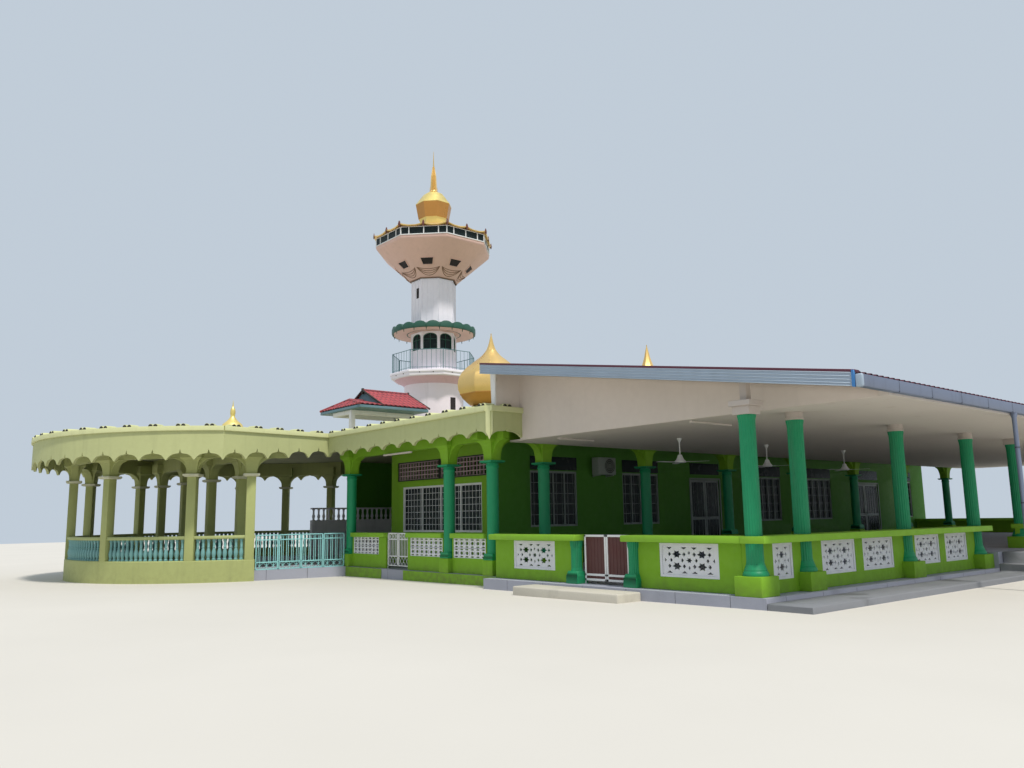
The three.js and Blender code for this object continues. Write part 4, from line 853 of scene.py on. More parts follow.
EAVE_X, RIDGE_X = 1.90, -7.56
EAVE_TOP, RIDGE_TOP = 3.77, 5.31
ROOF_DEPTH = 0.18
ROOF_FRONT, ROOF_BACK = -0.15, 28.9
STRIP = 0.025
GABLE_Y = 0.95
FALL = (RIDGE_TOP - EAVE_TOP) / (EAVE_X - RIDGE_X)


def roof_top(x):
    return EAVE_TOP + FALL * (EAVE_X - x)


def sloped(x0, x1, y0, y1, above, below, soft=0.004):
    """A slab that follows the roof's fall, from below to above its top line."""
    outline = [(x0, roof_top(x0) - below), (x1, roof_top(x1) - below),
               (x1, roof_top(x1) + above), (x0, roof_top(x0) + above)]
    return softened(facing(outline, y0, y1), soft) if soft else facing(outline, y0, y1)


RIB_PITCH = 0.19


def ribbed_sheet():
    """The roof sheet: trapezoid ribs that run down the fall, one profile carried from ridge to eave."""
    profile = [(0.0, -0.03), (0.1, -0.03), (0.118, 0.0), (0.165, 0.0), (0.183, -0.03)]
    y = ROOF_FRONT + STRIP
    top = []
    while y + RIB_PITCH < ROOF_BACK:
        top += [(y + along, height) for along, height in profile]
        y += RIB_PITCH
    top.append((ROOF_BACK, -0.03))
    section = [(RIDGE_X, along, roof_top(RIDGE_X) + height) for along, height in top]
    section += [(RIDGE_X, along, roof_top(RIDGE_X) + height - 0.004) for along, height in reversed(top)]
    run = EAVE_X - GAP - RIDGE_X
    return pushed(face_through(section), (run, 0, -FALL * run))


def make_verandah_roof():
    eave = EAVE_X - GAP
    piece("roof_sheets", [ribbed_sheet()], SHEET_MAROON, ["verandah_roof"])
    beams = [sloped(RIDGE_X, eave, y, y + 0.05, -0.034, ROOF_DEPTH - 0.012, 0)
             for y in (0.4, 9.0, 17.0, 25.0, 28.3)]
    for x in spread(RIDGE_X + 0.3, eave - 0.2, 1.3):
        beams.append(sloped(x, x + 0.06, ROOF_FRONT + STRIP, ROOF_BACK, -0.034, ROOF_DEPTH - 0.02, 0))
    piece("roof_purlins", beams, SHEET_GREY)
    soffit = [sloped(RIDGE_X, eave, ROOF_FRONT + STRIP, ROOF_BACK, -ROOF_DEPTH + 0.012, ROOF_DEPTH, 0.002)]
    soffit.append(sloped(RIDGE_X + 0.05, eave - 0.05, 0.42, 0.45, -ROOF_DEPTH, ROOF_DEPTH + 0.006, 0))
    piece("overhang_soffit", soffit, GABLE)
    strip = [sloped(RIDGE_X, eave, ROOF_FRONT + 0.006, ROOF_FRONT + STRIP, -0.028, 0.255)]
    for below in (0.045, 0.1, 0.155, 0.21, 0.252):
        strip.append(sloped(RIDGE_X, eave, ROOF_FRONT - 0.014, ROOF_FRONT + 0.012, 0.012 - below, below,
                            0.005))
    piece("front_strip", strip, SHEET_BLUE, ["roof_front_strip"])
    cap = [sloped(RIDGE_X, eave, ROOF_FRONT - 0.002, ROOF_FRONT + 0.16, 0.015, 0.03),
           sloped(RIDGE_X, RIDGE_X + 0.25, ROOF_FRONT, ROOF_BACK, 0.014, 0.02)]
    piece("maroon_cap", cap, SHEET_MAROON)
    piece("strip_blue_end", [sloped(eave - 0.05, eave, ROOF_FRONT - 0.018, ROOF_FRONT + 0.02, 0.004,
                                    0.264)],
          SHEET_BRIGHT_BLUE)


def gutter_section(x0, x1, bottom, top):
    """A box gutter with rolled lips: its section as x and z."""
    skin = 0.008
    return [(x0, bottom), (x1 - 0.014, bottom), (x1, bottom + 0.02), (x1, top), (x1 - 0.022, top),
            (x1 - 0.022, top - skin), (x1 - skin, top - skin), (x1 - skin, bottom + 0.02 + skin / 2),
            (x1 - 0.018, bottom + skin), (x0 + skin, bottom + skin), (x0 + skin, top), (x0, top)]


GUTTER_TOP = 3.70
PIPE_YS = (6.1, 24.0)


def make_gutter():
    low, high = plan_box("gutter_and_downpipes")
    bottom, top = 3.51, GUTTER_TOP
    x0, x1 = EAVE_X, high.x
    trough = [facing(gutter_section(x0, x1, bottom, top), ROOF_FRONT, ROOF_BACK)]
    trough += [block(x0, x1, y, y + 0.008, bottom, top, 0.002) for y in (ROOF_FRONT, ROOF_BACK - 0.008)]
    pipe_x = (x0 + x1) / 2
    for y in PIPE_YS:
        pipe = [(0.045, low.z - bottom), (0.045, -0.1), (0.06, -0.06), (0.06, 0.005)]
        trough.append(lathe(pipe, 20, bottom, (pipe_x, y)))
    piece("gutter_with_downpipes", trough, SHEET_GREY, ["gutter_and_downpipes"])
    laps = []
    for y in spread(ROOF_FRONT, ROOF_BACK, 1.2)[:-1]:
        laps.append(block(x0 - 0.001, x1 + 0.003, y + 0.6, y + 0.614, bottom - 0.003, top + 0.002, 0.002))
        laps.append(bar((x0 + 0.01, y, top - 0.012), (x1 - 0.01, y, top - 0.012), 0.008, 6))
    for y in PIPE_YS:
        laps += [hoop(0.044, 0.052, z, z + 0.03, 20, (pipe_x, y)) for z in (0.6, 1.7, 2.8)]
    piece("gutter_laps_and_clips", laps, LAP_GREY)
    end_cap = block(x0 - 0.004, x1 + 0.008, ROOF_FRONT - 0.012, ROOF_FRONT + 0.05, bottom - 0.01,
                    top + 0.012, 0.03, 3)
    piece("gutter_end_cap", [end_cap], SHEET_BLUE)


FAN_X = -4.95
FAN_YS = (4.1, 7.9, 12.1)
ROD_BOTTOM = 3.06
BATTENS = ((-2.29, 1.14), (-6.39, 1.32))  # line and front end of each


def make_ceiling():
    low, high = plan_box("verandah_ceiling")
    boards = [block(low.x, EAVE_X - GAP, low.y, high.y, SOFFIT, high.z, 0.004),
              block(high.x, EAVE_X - GAP, GABLE_Y - 0.02, low.y + 0.01, SOFFIT,
                    EAVE_TOP - ROOF_DEPTH + 0.02, 0.002)]
    piece("ceiling_boards", boards, CEILING, ["verandah_ceiling"])
    rod = [(0.014, ROD_BOTTOM - SOFFIT), (0.014, -0.1), (0.03, -0.09), (0.062, -0.02), (0.062, OVERLAP)]
    piece("fan_rods", [lathe(rod, 16, SOFFIT, (FAN_X, y)) for y in FAN_YS], WHITE_PAINT)
    battens = [block(x - 0.03, x + 0.03, y, 2.51, SOFFIT - 0.04, SOFFIT + 0.001, 0.006) for x, y in BATTENS]
    piece("ceiling_battens", battens, CEILING)


HUB = ((0.12, -0.2), (0.14, -0.185), (0.14, -0.165), (0.105, -0.13), (0.075, -0.08), (0.055, -0.02),
       (0.045, 0.0))


def make_fans():
    top = ROD_BOTTOM - GAP
    for number, y in enumerate(FAN_YS, 1):
        shapes = [lathe(HUB, 24, top)]
        for heading in (20, 140, 260):
            blade = block(0.16, 0.72, -0.065, 0.065, top - 0.186, top - 0.181, 0.002)
            tipped(blade, 4, "X", (0.4, 0, top - 0.183))
            arm = block(0.1, 0.24, -0.02, 0.02, top - 0.181, top - 0.175, 0.002)
            shapes += placed([blade, arm], turn=heading)
        name = f"fan_{number}"
        piece(f"{name}_blades_and_hub", placed(shapes, FAN_X, y), WHITE_PAINT,
              [f"fan_rotor_{number}"], name)


def make_gable_walls():
    dress_solid("gable_wall_panels", "gable_walls", 0.005, GABLE)
    roof_under = roof_top(RIDGE_X) - ROOF_DEPTH
    # A white sliver on the high wall's front end: painted highlight, the sunlit end of the beige wall
    # painted white.
    pier = facing([(-7.5, SLAB_TOP + 0.01), (-7.38, SLAB_TOP + 0.01), (-7.36, roof_under - 0.03),
                   (-7.55, roof_under)], 0.17, 0.21)
    piece("gable_end_painted_highlight", [pier], WHITE_PAINT)


def make_ground_works():
    finished("ground_floor", FLOOR_TILE)
    finished("raised_floor", FLOOR_TILE)
    step = softened(block(*sum(zip(*plan_box("gate_step")), ()), 0.0), 0.03, 3)
    piece("cream_gate_step", [step], STEP_CREAM, ["gate_step"])
    dress_solid("side_apron", "side_apron_and_steps", 0.018, GREY_CEMENT)


# Round emerald columns of the canopy, their flared heads and beams

CANOPY_Y = 0.65
ARCADE_X = -8.10
CANOPY_COLUMN_XS = (-15.13, -9.94, ARCADE_X)
ARCADE_YS = (2.38, 6.42, 10.42, 14.5, 18.6, 22.7, 26.8)
CAPITAL_BOTTOM, CAPITAL_TOP = 2.94, 3.00
BEAM_BOTTOM = 3.50
BEAM_HALF = 0.11
RAISED_FROM = 9.75  # where the raised floor begins
STAND = 0.37  # height of the round columns' pedestals


def flare(bottom, top, half, spread_by, arm_half, reach, headings):
    """A square trumpet that runs out into arms: concave, from a capital up to the beams it carries."""
    steps = 7
    levels = []
    for i in range(steps + 1):
        share = i / steps
        lift = 1 - sqrt(1 - share ** 2)
        levels.append((bottom + (top - bottom) * share, half + spread_by * lift))
    levels.append((top + 0.3, half + spread_by))
    shapes = [stacked(SQUARE, levels)]
    curve = [(0.0, bottom + 0.02), (half - 0.01, bottom + 0.02)]
    for i in range(steps + 1):
        angle = pi / 2 * i / steps
        curve.append((half + reach * (1 - cos(angle)), bottom + 0.02 + (top - bottom - 0.02) * sin(angle)))
    curve += [(half + reach, top + 0.01), (0.0, top + 0.01)]
    for heading in headings:
        shapes.append(moved(softened(facing(curve, -arm_half, arm_half), 0.006), turn=heading))
    return shapes


def capital_slab(half, bottom, top):
    return softened(stacked(SQUARE, [(bottom, half * 0.82), (bottom + (top - bottom) * 0.35, half),
                                     (top, half)]), 0.006)


def round_column(bottom):
    """A plain round shaft with a flared square foot and a thin collar."""
    down = bottom - CAPITAL_BOTTOM
    shaft = lathe([(0.158, down + 0.02), (0.15, down + 0.2), (0.15, -0.14), (0.155, -0.1), (0.165, -0.09),
                   (0.165, -0.07), (0.152, -0.05), (0.152, 0.003)], 32, CAPITAL_BOTTOM)
    foot = softened(stacked(SQUARE, [(bottom, 0.185), (bottom + 0.06, 0.185), (bottom + 0.16, 0.168)]),
                    0.008)
    return [shaft, foot]


def make_hall_arcade():
    spots = [(x, CANOPY_Y, FLOOR + STAND) for x in CANOPY_COLUMN_XS]
    spots += [(ARCADE_X, y, (FLOOR if y < RAISED_FROM else RAISED) + STAND) for y in ARCADE_YS]
    columns, capitals, pedestals, beams = [], [], [], []
    for x, y, foot in spots:
        columns += placed(round_column(foot), x, y)
        capitals.append(moved(capital_slab(0.23, CAPITAL_BOTTOM, CAPITAL_TOP), x, y))
        pedestals.append(moved(pedestal(0.2, foot - STAND + GAP, foot + OVERLAP), x, y))
        if y == CANOPY_Y:
            headings = [0] if x == CANOPY_COLUMN_XS[0] else [0, 180]
            headings += [90] if x == ARCADE_X else []
        else:
            headings = [90, 270]
        beams += placed(flare(CAPITAL_TOP - 0.001, BEAM_BOTTOM, 0.15, 0.13, BEAM_HALF, 0.43, headings),
                        x, y)
    beams.append(block(-15.29, -7.54, CANOPY_Y - BEAM_HALF, CANOPY_Y + BEAM_HALF, BEAM_BOTTOM, SLAB_BOTTOM,
                       0.006))
    beams.append(block(ARCADE_X - BEAM_HALF, ARCADE_X + BEAM_HALF, 0.09, 28.5, BEAM_BOTTOM, SLAB_BOTTOM,
                       0.006))
    piece("round_columns", columns, EMERALD, ["hall_arcade"])
    piece("round_column_capitals", capitals, EMERALD)
    piece("canopy_pedestals", pedestals, LIME)
    piece("canopy_flares_and_beams", beams, LIME)
    piece("canopy_tube_lamp", [block(-12.93, -11.47, 0.43, 0.49, 3.42, 3.47, 0.008)], CEILING)


# Low walls of the canopy, with breeze blocks and the small white gate

CANOPY_WALLS = {"left": (-14.9297, -13.00, -14.88, -13.40), "middle": (-11.85, -10.1403, -11.74, -10.18),
                "right": (-9.7397, -8.3003, -9.70, -8.34)}
CANOPY_FACE_Y = 0.59


def oval(x, z, wide, high):
    return [(x + wide * cos(pi / 4 * i), z + high * sin(pi / 4 * i)) for i in range(8)]


BREEZE_LOW, BREEZE_HIGH = 0.58, COPING_BOTTOM - 0.006


def breeze_screen(start, end):
    """Two rows of breeze blocks, each with an oval hole between two slits; its face at y = 0."""
    columns = max(2, round((end - start) / 0.226))
    pitch = (end - start) / columns
    rows = 2
    rise = (BREEZE_HIGH - BREEZE_LOW) / rows
    holes, grooves = [], []
    for column in range(columns):
        x = start + pitch * (column + 0.5)
        for row in range(rows):
            z = BREEZE_LOW + rise * (row + 0.5)
            holes.append(oval(x, z, pitch * 0.3, rise * 0.19))
            holes += [oval(x, z + way * rise * 0.36, pitch * 0.33, rise * 0.08) for way in (-1, 1)]
            grooves += [block(x + pitch * 0.46, x + pitch * 0.49, 0.014, 0.03, z - rise * 0.2,
                              z + rise * 0.2, 0)]
    plate = pierced(rectangle(start, end, BREEZE_LOW, BREEZE_HIGH), holes, 0.02, 0.05)
    grooves += [block(start, end, 0.016, 0.03, z - 0.004, z + 0.004, 0)
                for z in spread(BREEZE_LOW, BREEZE_HIGH, rise * 2)]
    return [plate], grooves


def make_canopy_parapets():
    joints = []
    for side, (x0, x1, a, b) in CANOPY_WALLS.items():
        wall = screened_wall(x0, x1, FLOOR + GAP, [(a, b)], BREEZE_LOW, BREEZE_HIGH)
        piece(f"canopy_low_wall_{side}", placed([wall], 0, CANOPY_FACE_Y), LIME,
              [f"canopy_parapet_{side}"])
        piece(f"canopy_coping_{side}", [coping(x0, x1, 0.5, 0.8)], COPING)
        plates, grooves = breeze_screen(a, b)
        piece(f"breeze_blocks_{side}", placed(plates, 0, CANOPY_FACE_Y), SCREEN_WHITE)
        joints += placed(grooves, 0, CANOPY_FACE_Y)
    piece("breeze_block_joints", joints, LAP_GREY)
    low = plan_box("ground_floor")[0].z
    skirts = [block(x0, x1, 0.436, 0.449, low, FLOOR - 0.004, 0.003) for x0,
              x1 in ((-15.55, -13.0), (-11.85, -7.54))]
    piece("canopy_plinth_skirt", skirts, LIME)


def barred_leaf(reach, way, bottom, top):
    """A small white leaf from its pivot at x = 0: upright bars over a patterned panel."""
    x0, x1 = sorted((0.0, way * reach))
    wide = 0.03
    panel_top = bottom + 0.26
    bars = leaf_frame(x0, x1, 0.015, (bottom, panel_top, top - 0.2, top - wide), wide, bottom, top, wide)
    bars += [block(x - 0.006, x + 0.006, -0.006, 0.006, panel_top, top, 0)
             for x in spread(x0 + wide, x1 - wide, 0.085)]
    for x in spread(x0 + wide, x1 - wide, 0.16):
        bars += crossed(x, 0.08, bottom + wide, panel_top, 0.006) + crossed(x, 0.08, top - 0.17, top - wide,
                                                                            0.006)
    return bars + [bar((0, 0, FLOOR + GAP), (0, 0, bottom + 0.01), 0.01, 10)]


def make_small_gate():
    for side, x, way in (("left", -12.97, 1), ("right", -11.88, -1)):
        body = f"small_gate_{side}"
        piece(f"{body}_bars", placed(barred_leaf(0.539, way, 0.27, COPING_TOP), x, CANOPY_Y), WHITE_PAINT,
              [f"{body}_leaf"], body)


# Windows, doors and walls of the prayer hall

HALL_FRONT_Y = 2.40
FRONT_WINDOW = (-14.92, -10.78, 1.18, 2.60)
VENT = (-15.25, -10.56, 2.79, 3.41)
SIDE_WINDOWS = ((3.84, 5.76), (7.83, 9.61), (15.3, 17.0), (18.9, 20.8), (26.6, 28.2))
SIDE_WINDOW_Z = (1.30, 2.95)
DOORWAYS = ((11.33, 13.0), (22.5, 24.9))
DOOR_BOTTOM, DOOR_TOP = 0.582, 2.79


def casements(start, end, low, high, count, bars, rails):
    """A window with its front at y = 0, as its frames, its welded grille and its panes."""
    rim = 0.04
    frames = [rimmed(start, end, low, high, rim, 0.0, 0.06)]
    start, end, low, high = start + rim, end - rim, low + rim, high - rim
    width = (end - start) / count
    grille = []
    for i in range(count):
        x0 = start + width * i
        frames.append(rimmed(x0, x0 + width, low, high, 0.02, 0.012, 0.05))
        grille += [block(x - 0.004, x + 0.004, 0.0, 0.01, low, high, 0)
                   for x in spread(x0, x0 + width, width / bars)]
    for i in range(1, rails):
        z = low + (high - low) * i / rails
        grille.append(block(start, end, -0.004, 0.004, z - 0.006, z + 0.006, 0))
    return frames, grille, [block(start, end, 0.07, 0.076, low, high, 0)]


WINDOW_SET = 0.02  # how far a window is set into its wall
LOBBY_LEFT, HALL_LEFT, HALL_BACK = -15.6, -22.7, 29.5
LEFT_WINDOWS = (12.8, 16.2, 19.6, 23.0, 26.4)
BACK_WINDOWS = (-21.2, -18.1, -15.0, -12.7)
HIDDEN_WINDOW_Z = (1.12, 3.1)


def make_hall_windows():
    frames, grilles, panes = [], [], []

    def fit(window, x, y, turn):
        for shapes, kept in zip(window, (frames, grilles, panes)):
            kept.extend(placed(shapes, x, y, 0, turn))

    rims, bars, glass = casements(*FRONT_WINDOW, 4, 6, 7)
    piece("front_window_bars", placed(rims + bars, 0, HALL_FRONT_Y + WINDOW_SET), WHITE_PAINT)
    fit(([], [], glass), 0, HALL_FRONT_Y + WINDOW_SET, STREET)
    for y0, y1 in SIDE_WINDOWS:
        fit(casements(0, y1 - y0, *SIDE_WINDOW_Z, 4, 2, 5), HALL_RIGHT - WINDOW_SET, y0, RIGHT)
    fit(casements(-1.8, 0.0, *FRONT_WINDOW[2:], 3, 5, 6), LOBBY_LEFT + WINDOW_SET, 5.0, LEFT)
    for y in LEFT_WINDOWS:
        fit(casements(-1.7, 0.0, *HIDDEN_WINDOW_Z, 4, 2, 5), HALL_LEFT + WINDOW_SET, y, LEFT)
    for x in BACK_WINDOWS:
        fit(casements(-1.6, 0.0, *HIDDEN_WINDOW_Z, 4, 2, 5), x, HALL_BACK - WINDOW_SET, BACK)
    # Frames and grilles in the darkened frame paint: painted shade.
    piece("window_frames", frames, FRAME_PAINTED_SHADE, ["hall_glazing"])
    piece("window_grilles", grilles, FRAME_PAINTED_SHADE)
    # Dark panes over the windows and doors: painted shade for the dark behind them.
    transoms = [block(HALL_RIGHT + GAP, HALL_RIGHT + 0.008, y0, y1, 2.98, 3.38, 0) for y0,
                y1 in SIDE_WINDOWS + DOORWAYS]
    piece("dark_transom_panels", transoms, PANE)
    piece("window_panes", panes, PANE)


VENT_RIM, VENT_BAR = 0.04, 0.014
VENT_ROWS = 4


def make_vent():
    """The vent band over the window: a cement grid in two parts with a dark rim."""
    start, end, low, high = VENT
    middle = (start + end) / 2
    rims, grid = [], []
    for x0, x1 in ((start, middle - 0.02), (middle + 0.02, end)):
        rims.append(rimmed(x0, x1, low, high, VENT_RIM, 0.03, 0.12))
        inner = (x0 + VENT_RIM, x1 - VENT_RIM, low + VENT_RIM, high - VENT_RIM)
        columns = round((x1 - x0 - 2 * VENT_RIM) / 0.155)
        pitch = (x1 - x0 - 2 * VENT_RIM) / columns
        rise = (high - low - 2 * VENT_RIM) / VENT_ROWS
        holes = []
        for column in range(columns):
            for row in range(VENT_ROWS):
                x, z = inner[0] + pitch * column, inner[2] + rise * row
                holes.append(rectangle(x + VENT_BAR, x + pitch - VENT_BAR, z + VENT_BAR,
                                       z + rise - VENT_BAR))
        grid.append(pierced(rectangle(*inner), holes, 0.05, 0.1))
    piece("vent_grid", placed(grid, 0, HALL_FRONT_Y), VENT_PINK, ["vent_screen"])
    piece("vent_rims", placed(rims, 0, HALL_FRONT_Y), BLACK_CLAY)


def glazed_leaf(width):
    """A door leaf from x = 0 to width: frame, lock rail, grille bars, handle and a dark pane."""
    half = 0.02
    low, high = DOOR_BOTTOM, DOOR_TOP
    holes = [rectangle(0.08, width - 0.08, low + 0.12, low + 0.82),
             rectangle(0.08, width - 0.08, low + 0.92, high - 0.08)]
    frames = [softened(pierced(rectangle(0, width, low, high), holes, -half, half), 0.004)]
    frames += [block(x - 0.005, x + 0.005, -0.011, -0.002, low + 0.1, high - 0.06, 0)
               for x in spread(0.08, width - 0.08, 0.22)]
    x, y = width - 0.05, -half - 0.03
    frames += [bar((x, -half, 1.55), (x, y, 1.55), 0.012, 8), bar((x, y, 1.47), (x, y, 1.68), 0.009, 8)]
    return frames, [block(0.07, width - 0.07, -0.003, 0.003, low + 0.1, high - 0.06, 0)]


def make_doors():
    for number in (1, 2):
        for side in ("near", "far"):
            body = f"door_{number}_{side}"
            node = f"hall_door_{number}_{side}_leaf"
            low, high = plan_box(node)
            middle = (low.x + high.x) / 2
            frames, pane = glazed_leaf(high.y - low.y)
            if side == "far":
                mirror_in_y(frames + pane, high.y - low.y)
            # Door frames in the darkened frame paint: painted shade.
            piece(f"{node}_frame", placed(frames, middle, low.y, 0, RIGHT), FRAME_PAINTED_SHADE,
                  [node], body)
            piece(f"{node}_glass", placed(pane, middle, low.y, 0, RIGHT), PANE, (), body)


def mirror_in_y(shapes, width):
    """Leaves hung from the other jamb: turned round end for end along x."""
    for shape in shapes:
        bmesh.ops.transform(shape, matrix=Matrix.Translation((width, 0, 0)) @ Matrix.Scale(-1, 4,
                                                                                           (1, 0, 0)),
                            verts=shape.verts)
        bmesh.ops.recalc_face_normals(shape, faces=shape.faces[:])


def make_door_frames():
    frames = []
    for y0, y1 in DOORWAYS:
        for a, b, z0, z1 in ((y0 - 0.06, y0 - 0.004, RAISED + GAP, 2.86),
                             (y1 + 0.004, y1 + 0.06, RAISED + GAP, 2.86),
                             (y0 - 0.06, y1 + 0.06, 2.804, 2.86)):
            frames.append(block(HALL_RIGHT - 0.01, HALL_RIGHT + 0.016, a, b, z0, z1, 0.004))
    # Door surrounds in the darkened frame paint: painted shade.
    piece("door_surrounds", frames, FRAME_PAINTED_SHADE)


AC_BOX = (HALL_RIGHT + 0.06, -9.94, 6.37, 7.16, 2.86, 3.40)


def make_air_conditioner():
    foot = plan_box("air_conditioner")[0].z
    x1, y0, y1, z0, z1 = AC_BOX[1:]
    fan_y, fan_z = y0 + 0.5, (z0 + z1) / 2
    shell = [block(*AC_BOX, 0.02, 3)]
    for radius in (0.06, 0.12, 0.18, 0.23):
        ring = hoop(radius - 0.006, radius + 0.006, 0.0, 0.012, 28)
        shell.append(moved(tipped(ring, 90, "Y"), x1 + 0.004, fan_y, fan_z))
    shell += [bar((x1 + 0.01, fan_y, fan_z), (x1 + 0.01, fan_y + 0.23 * cos(a), fan_z + 0.23 * sin(a)),
                  0.004, 4)
              for a in [pi * i / 6 for i in range(12)]]
    shell += [block(x1 - 0.002, x1 + 0.006, y0 + 0.04, y0 + 0.2, z, z + 0.012, 0)
              for z in spread(z0 + 0.1, z1 - 0.06, 0.03)]
    for y in (y0 + 0.1, y1 - 0.1):
        shell.append(block(HALL_RIGHT + GAP, x1 - 0.02, y - 0.015, y + 0.015, z0 - 0.03, z0 + OVERLAP,
                           0.003))
        shell.append(block(HALL_RIGHT + GAP, HALL_RIGHT + 0.03, y - 0.015, y + 0.015, foot, z0 - 0.02,
                           0.003))
        shell.append(bar((HALL_RIGHT + 0.02, y, foot + 0.02), (x1 - 0.06, y, z0 - 0.02), 0.01, 8))
    dark = tipped(lathe([(0.235, 0.0), (0.235, 0.004)], 32), 90, "Y")
    piece("air_conditioner_shell", shell, MACHINE_GREY, ["air_conditioner"])
    piece("air_conditioner_fan_guard", [moved(dark, x1 - 0.002, fan_y, fan_z)], BLACK_CLAY)


def make_hall_walls():
    dress_solid("hall_front_plaster", "hall_front_wall", 0.005, LIME)
    dress_solid("hall_side_plaster", "hall_side_wall", 0.005, HALL_GREEN)
    dress_solid("prayer_hall_plaster", "prayer_hall_walls", 0.005, HALL_GREEN)


# Flat roof, scalloped fascias and their tile ends

TIP, RISE = 3.53, 0.165
FASCIA_TOP, TRIM_BOTTOM = 4.26, 4.11
CURTAIN_TOP = TRIM_BOTTOM + 0.02
FASCIA_DEPTH = 0.08
SCALLOP = 0.82
PORCH_SCALLOP = 0.765
OGEE = ((0.0, 0.0), (0.035, 0.1), (0.09, 0.36), (0.17, 0.6), (0.28, 0.74), (0.4, 0.79), (0.46, 0.86),
        (0.485, 1.15),
        (0.5, 1.32), (0.515, 1.15), (0.54, 0.86), (0.6, 0.79), (0.72, 0.74), (0.83, 0.6), (0.91, 0.36),
        (0.965, 0.1))


def scalloped(length, count, tip, rise, face):
    """A curtain of ogee scallops along x, hung from behind the trim."""
    pitch = length / count
    lower = [((i + across) * pitch, tip + rise * lift) for i in range(count) for across, lift in OGEE]
    lower.append((length, tip))
    shape = bmesh.new()
    bottom = [shape.verts.new((x, face, z)) for x, z in lower]
    upper = [shape.verts.new((x, face, CURTAIN_TOP)) for x, _ in lower]
    edges = [shape.edges.new(pair) for pair in list(zip(bottom, bottom[1:])) + list(zip(upper, upper[1:]))]
    bmesh.ops.bridge_loops(shape, edges=edges)
    return pushed(shape, (0, FASCIA_DEPTH, 0))


def trim_band(length, sections, face):
    """The moulded band along the top of a fascia, in short lengths so that it can be bent."""
    bottom = TRIM_BOTTOM + 0.012
    outline = [(face, bottom), (face - 0.04, bottom), (face - 0.055, bottom + 0.012),
               (face - 0.055, FASCIA_TOP - 0.03),
               (face - 0.045, FASCIA_TOP), (face + 0.05, FASCIA_TOP), (face + 0.05, bottom)]
    shape = face_through([(0.0, y, z) for y, z in outline])
    for _ in range(sections):
        end = max(vert.co.x for vert in shape.verts)
        faces = [side for side in shape.faces if all(abs(vert.co.x - end) < 1e-6 for vert in side.verts)]
        grown = bmesh.ops.extrude_face_region(shape, geom=faces)["geom"]
        bmesh.ops.translate(shape, vec=(length / sections, 0, 0),
                            verts=[part for part in grown if isinstance(part, bmesh.types.BMVert)])
    bmesh.ops.recalc_face_normals(shape, faces=shape.faces[:])
    return shape


def tile_end(face):
    """A pair of roll tiles that end over the fascia: cream bodies and black ends."""
    cream, black = [], []
    for x in (-0.072, 0.072):
        cream.append(bar((x, face - 0.035, FASCIA_TOP), (x, face + 0.32, FASCIA_TOP + 0.01), 0.068, 12))
        black.append(bar((x, face - 0.044, FASCIA_TOP - 0.002), (x, face - 0.034, FASCIA_TOP - 0.002), 0.06,
                         12))
    return cream, black


CANOPY_FASCIA = (-15.30, -7.28)
FASCIA_FACE = -0.10


def make_canopy_fascia():
    x0, x1 = CANOPY_FASCIA
    count = round((x1 - x0) / SCALLOP)
    curtain = [moved(scalloped(x1 - 0.1 - x0, count, TIP, RISE, FASCIA_FACE), x0)]
    returned = scalloped(1.0, 1, TIP, RISE, 0.0)
    curtain.append(moved(returned, x1, -0.05, 0, RIGHT))
    corner = upright([(x1 - 0.1, FASCIA_FACE), (x1, FASCIA_FACE + 0.1), (x1 - 0.08, FASCIA_FACE + 0.1),
                      (x1 - 0.1, FASCIA_FACE + 0.08)], TIP + 0.12, CURTAIN_TOP)
    curtain.append(corner)
    piece("canopy_scallops", curtain, FASCIA, ["canopy_fascia"])
    trims = [moved(trim_band(x1 - 0.1 - x0, 1, FASCIA_FACE), x0),
             moved(trim_band(1.0, 1, 0.0), x1, -0.05, 0, RIGHT)]
    bevel = facing([(-0.085, TIP + 0.1), (0.0, TIP - 0.09), (0.085, TIP + 0.1), (0.085, FASCIA_TOP),
                    (-0.085, FASCIA_TOP)],
                   -0.012, 0.03)
    trims.append(moved(bevel, x1 - 0.05 + 0.005, FASCIA_FACE + 0.05 - 0.005, 0, 45))
    cream, black = [], []
    for i in range(count + 1):
        a, b = tile_end(FASCIA_FACE)
        x = x0 + 0.25 + (x1 - x0 - 0.5) * i / count
        cream += placed(a, x)
        black += placed(b, x)
    a, b = tile_end(0.0)
    cream += placed(a, x1, 0.45, 0, RIGHT)
    black += placed(b, x1, 0.45, 0, RIGHT)
    piece("canopy_trim_and_tiles", trims + cream, FASCIA_TRIM)
    piece("canopy_black_tile_ends", black, BLACK_CLAY)


# Round porch

PORCH = (-20.63, -0.54)
PORCH_RADIUS = 5.36
PORCH_FASCIA_RADIUS = 6.59
PORCH_TIP, PORCH_RISE = 3.31, 0.23
FASCIA_ARC = (62.3, -160.2)
PORCH_ANGLES = (69.5, 52.0, 22.0, -13.0, -38.5, -67.5, -89.5, -111.0, -130.5, -152.0)
PORCH_WALL_ARC = (71.1, -153.6)
PORCH_WALL_TOP = 0.51
CROSS_ROW = -2.1  # line of the columns that stand across the porch
CROSS_ROW_XS = (-24.6, -22.1, -19.6, -17.1)
PORCH_CAPITAL = (2.90, 2.985)
CAPITAL_HALF = 0.232
PORCH_BEAM_BOTTOM = 3.45
ARC_STEP = 3.0


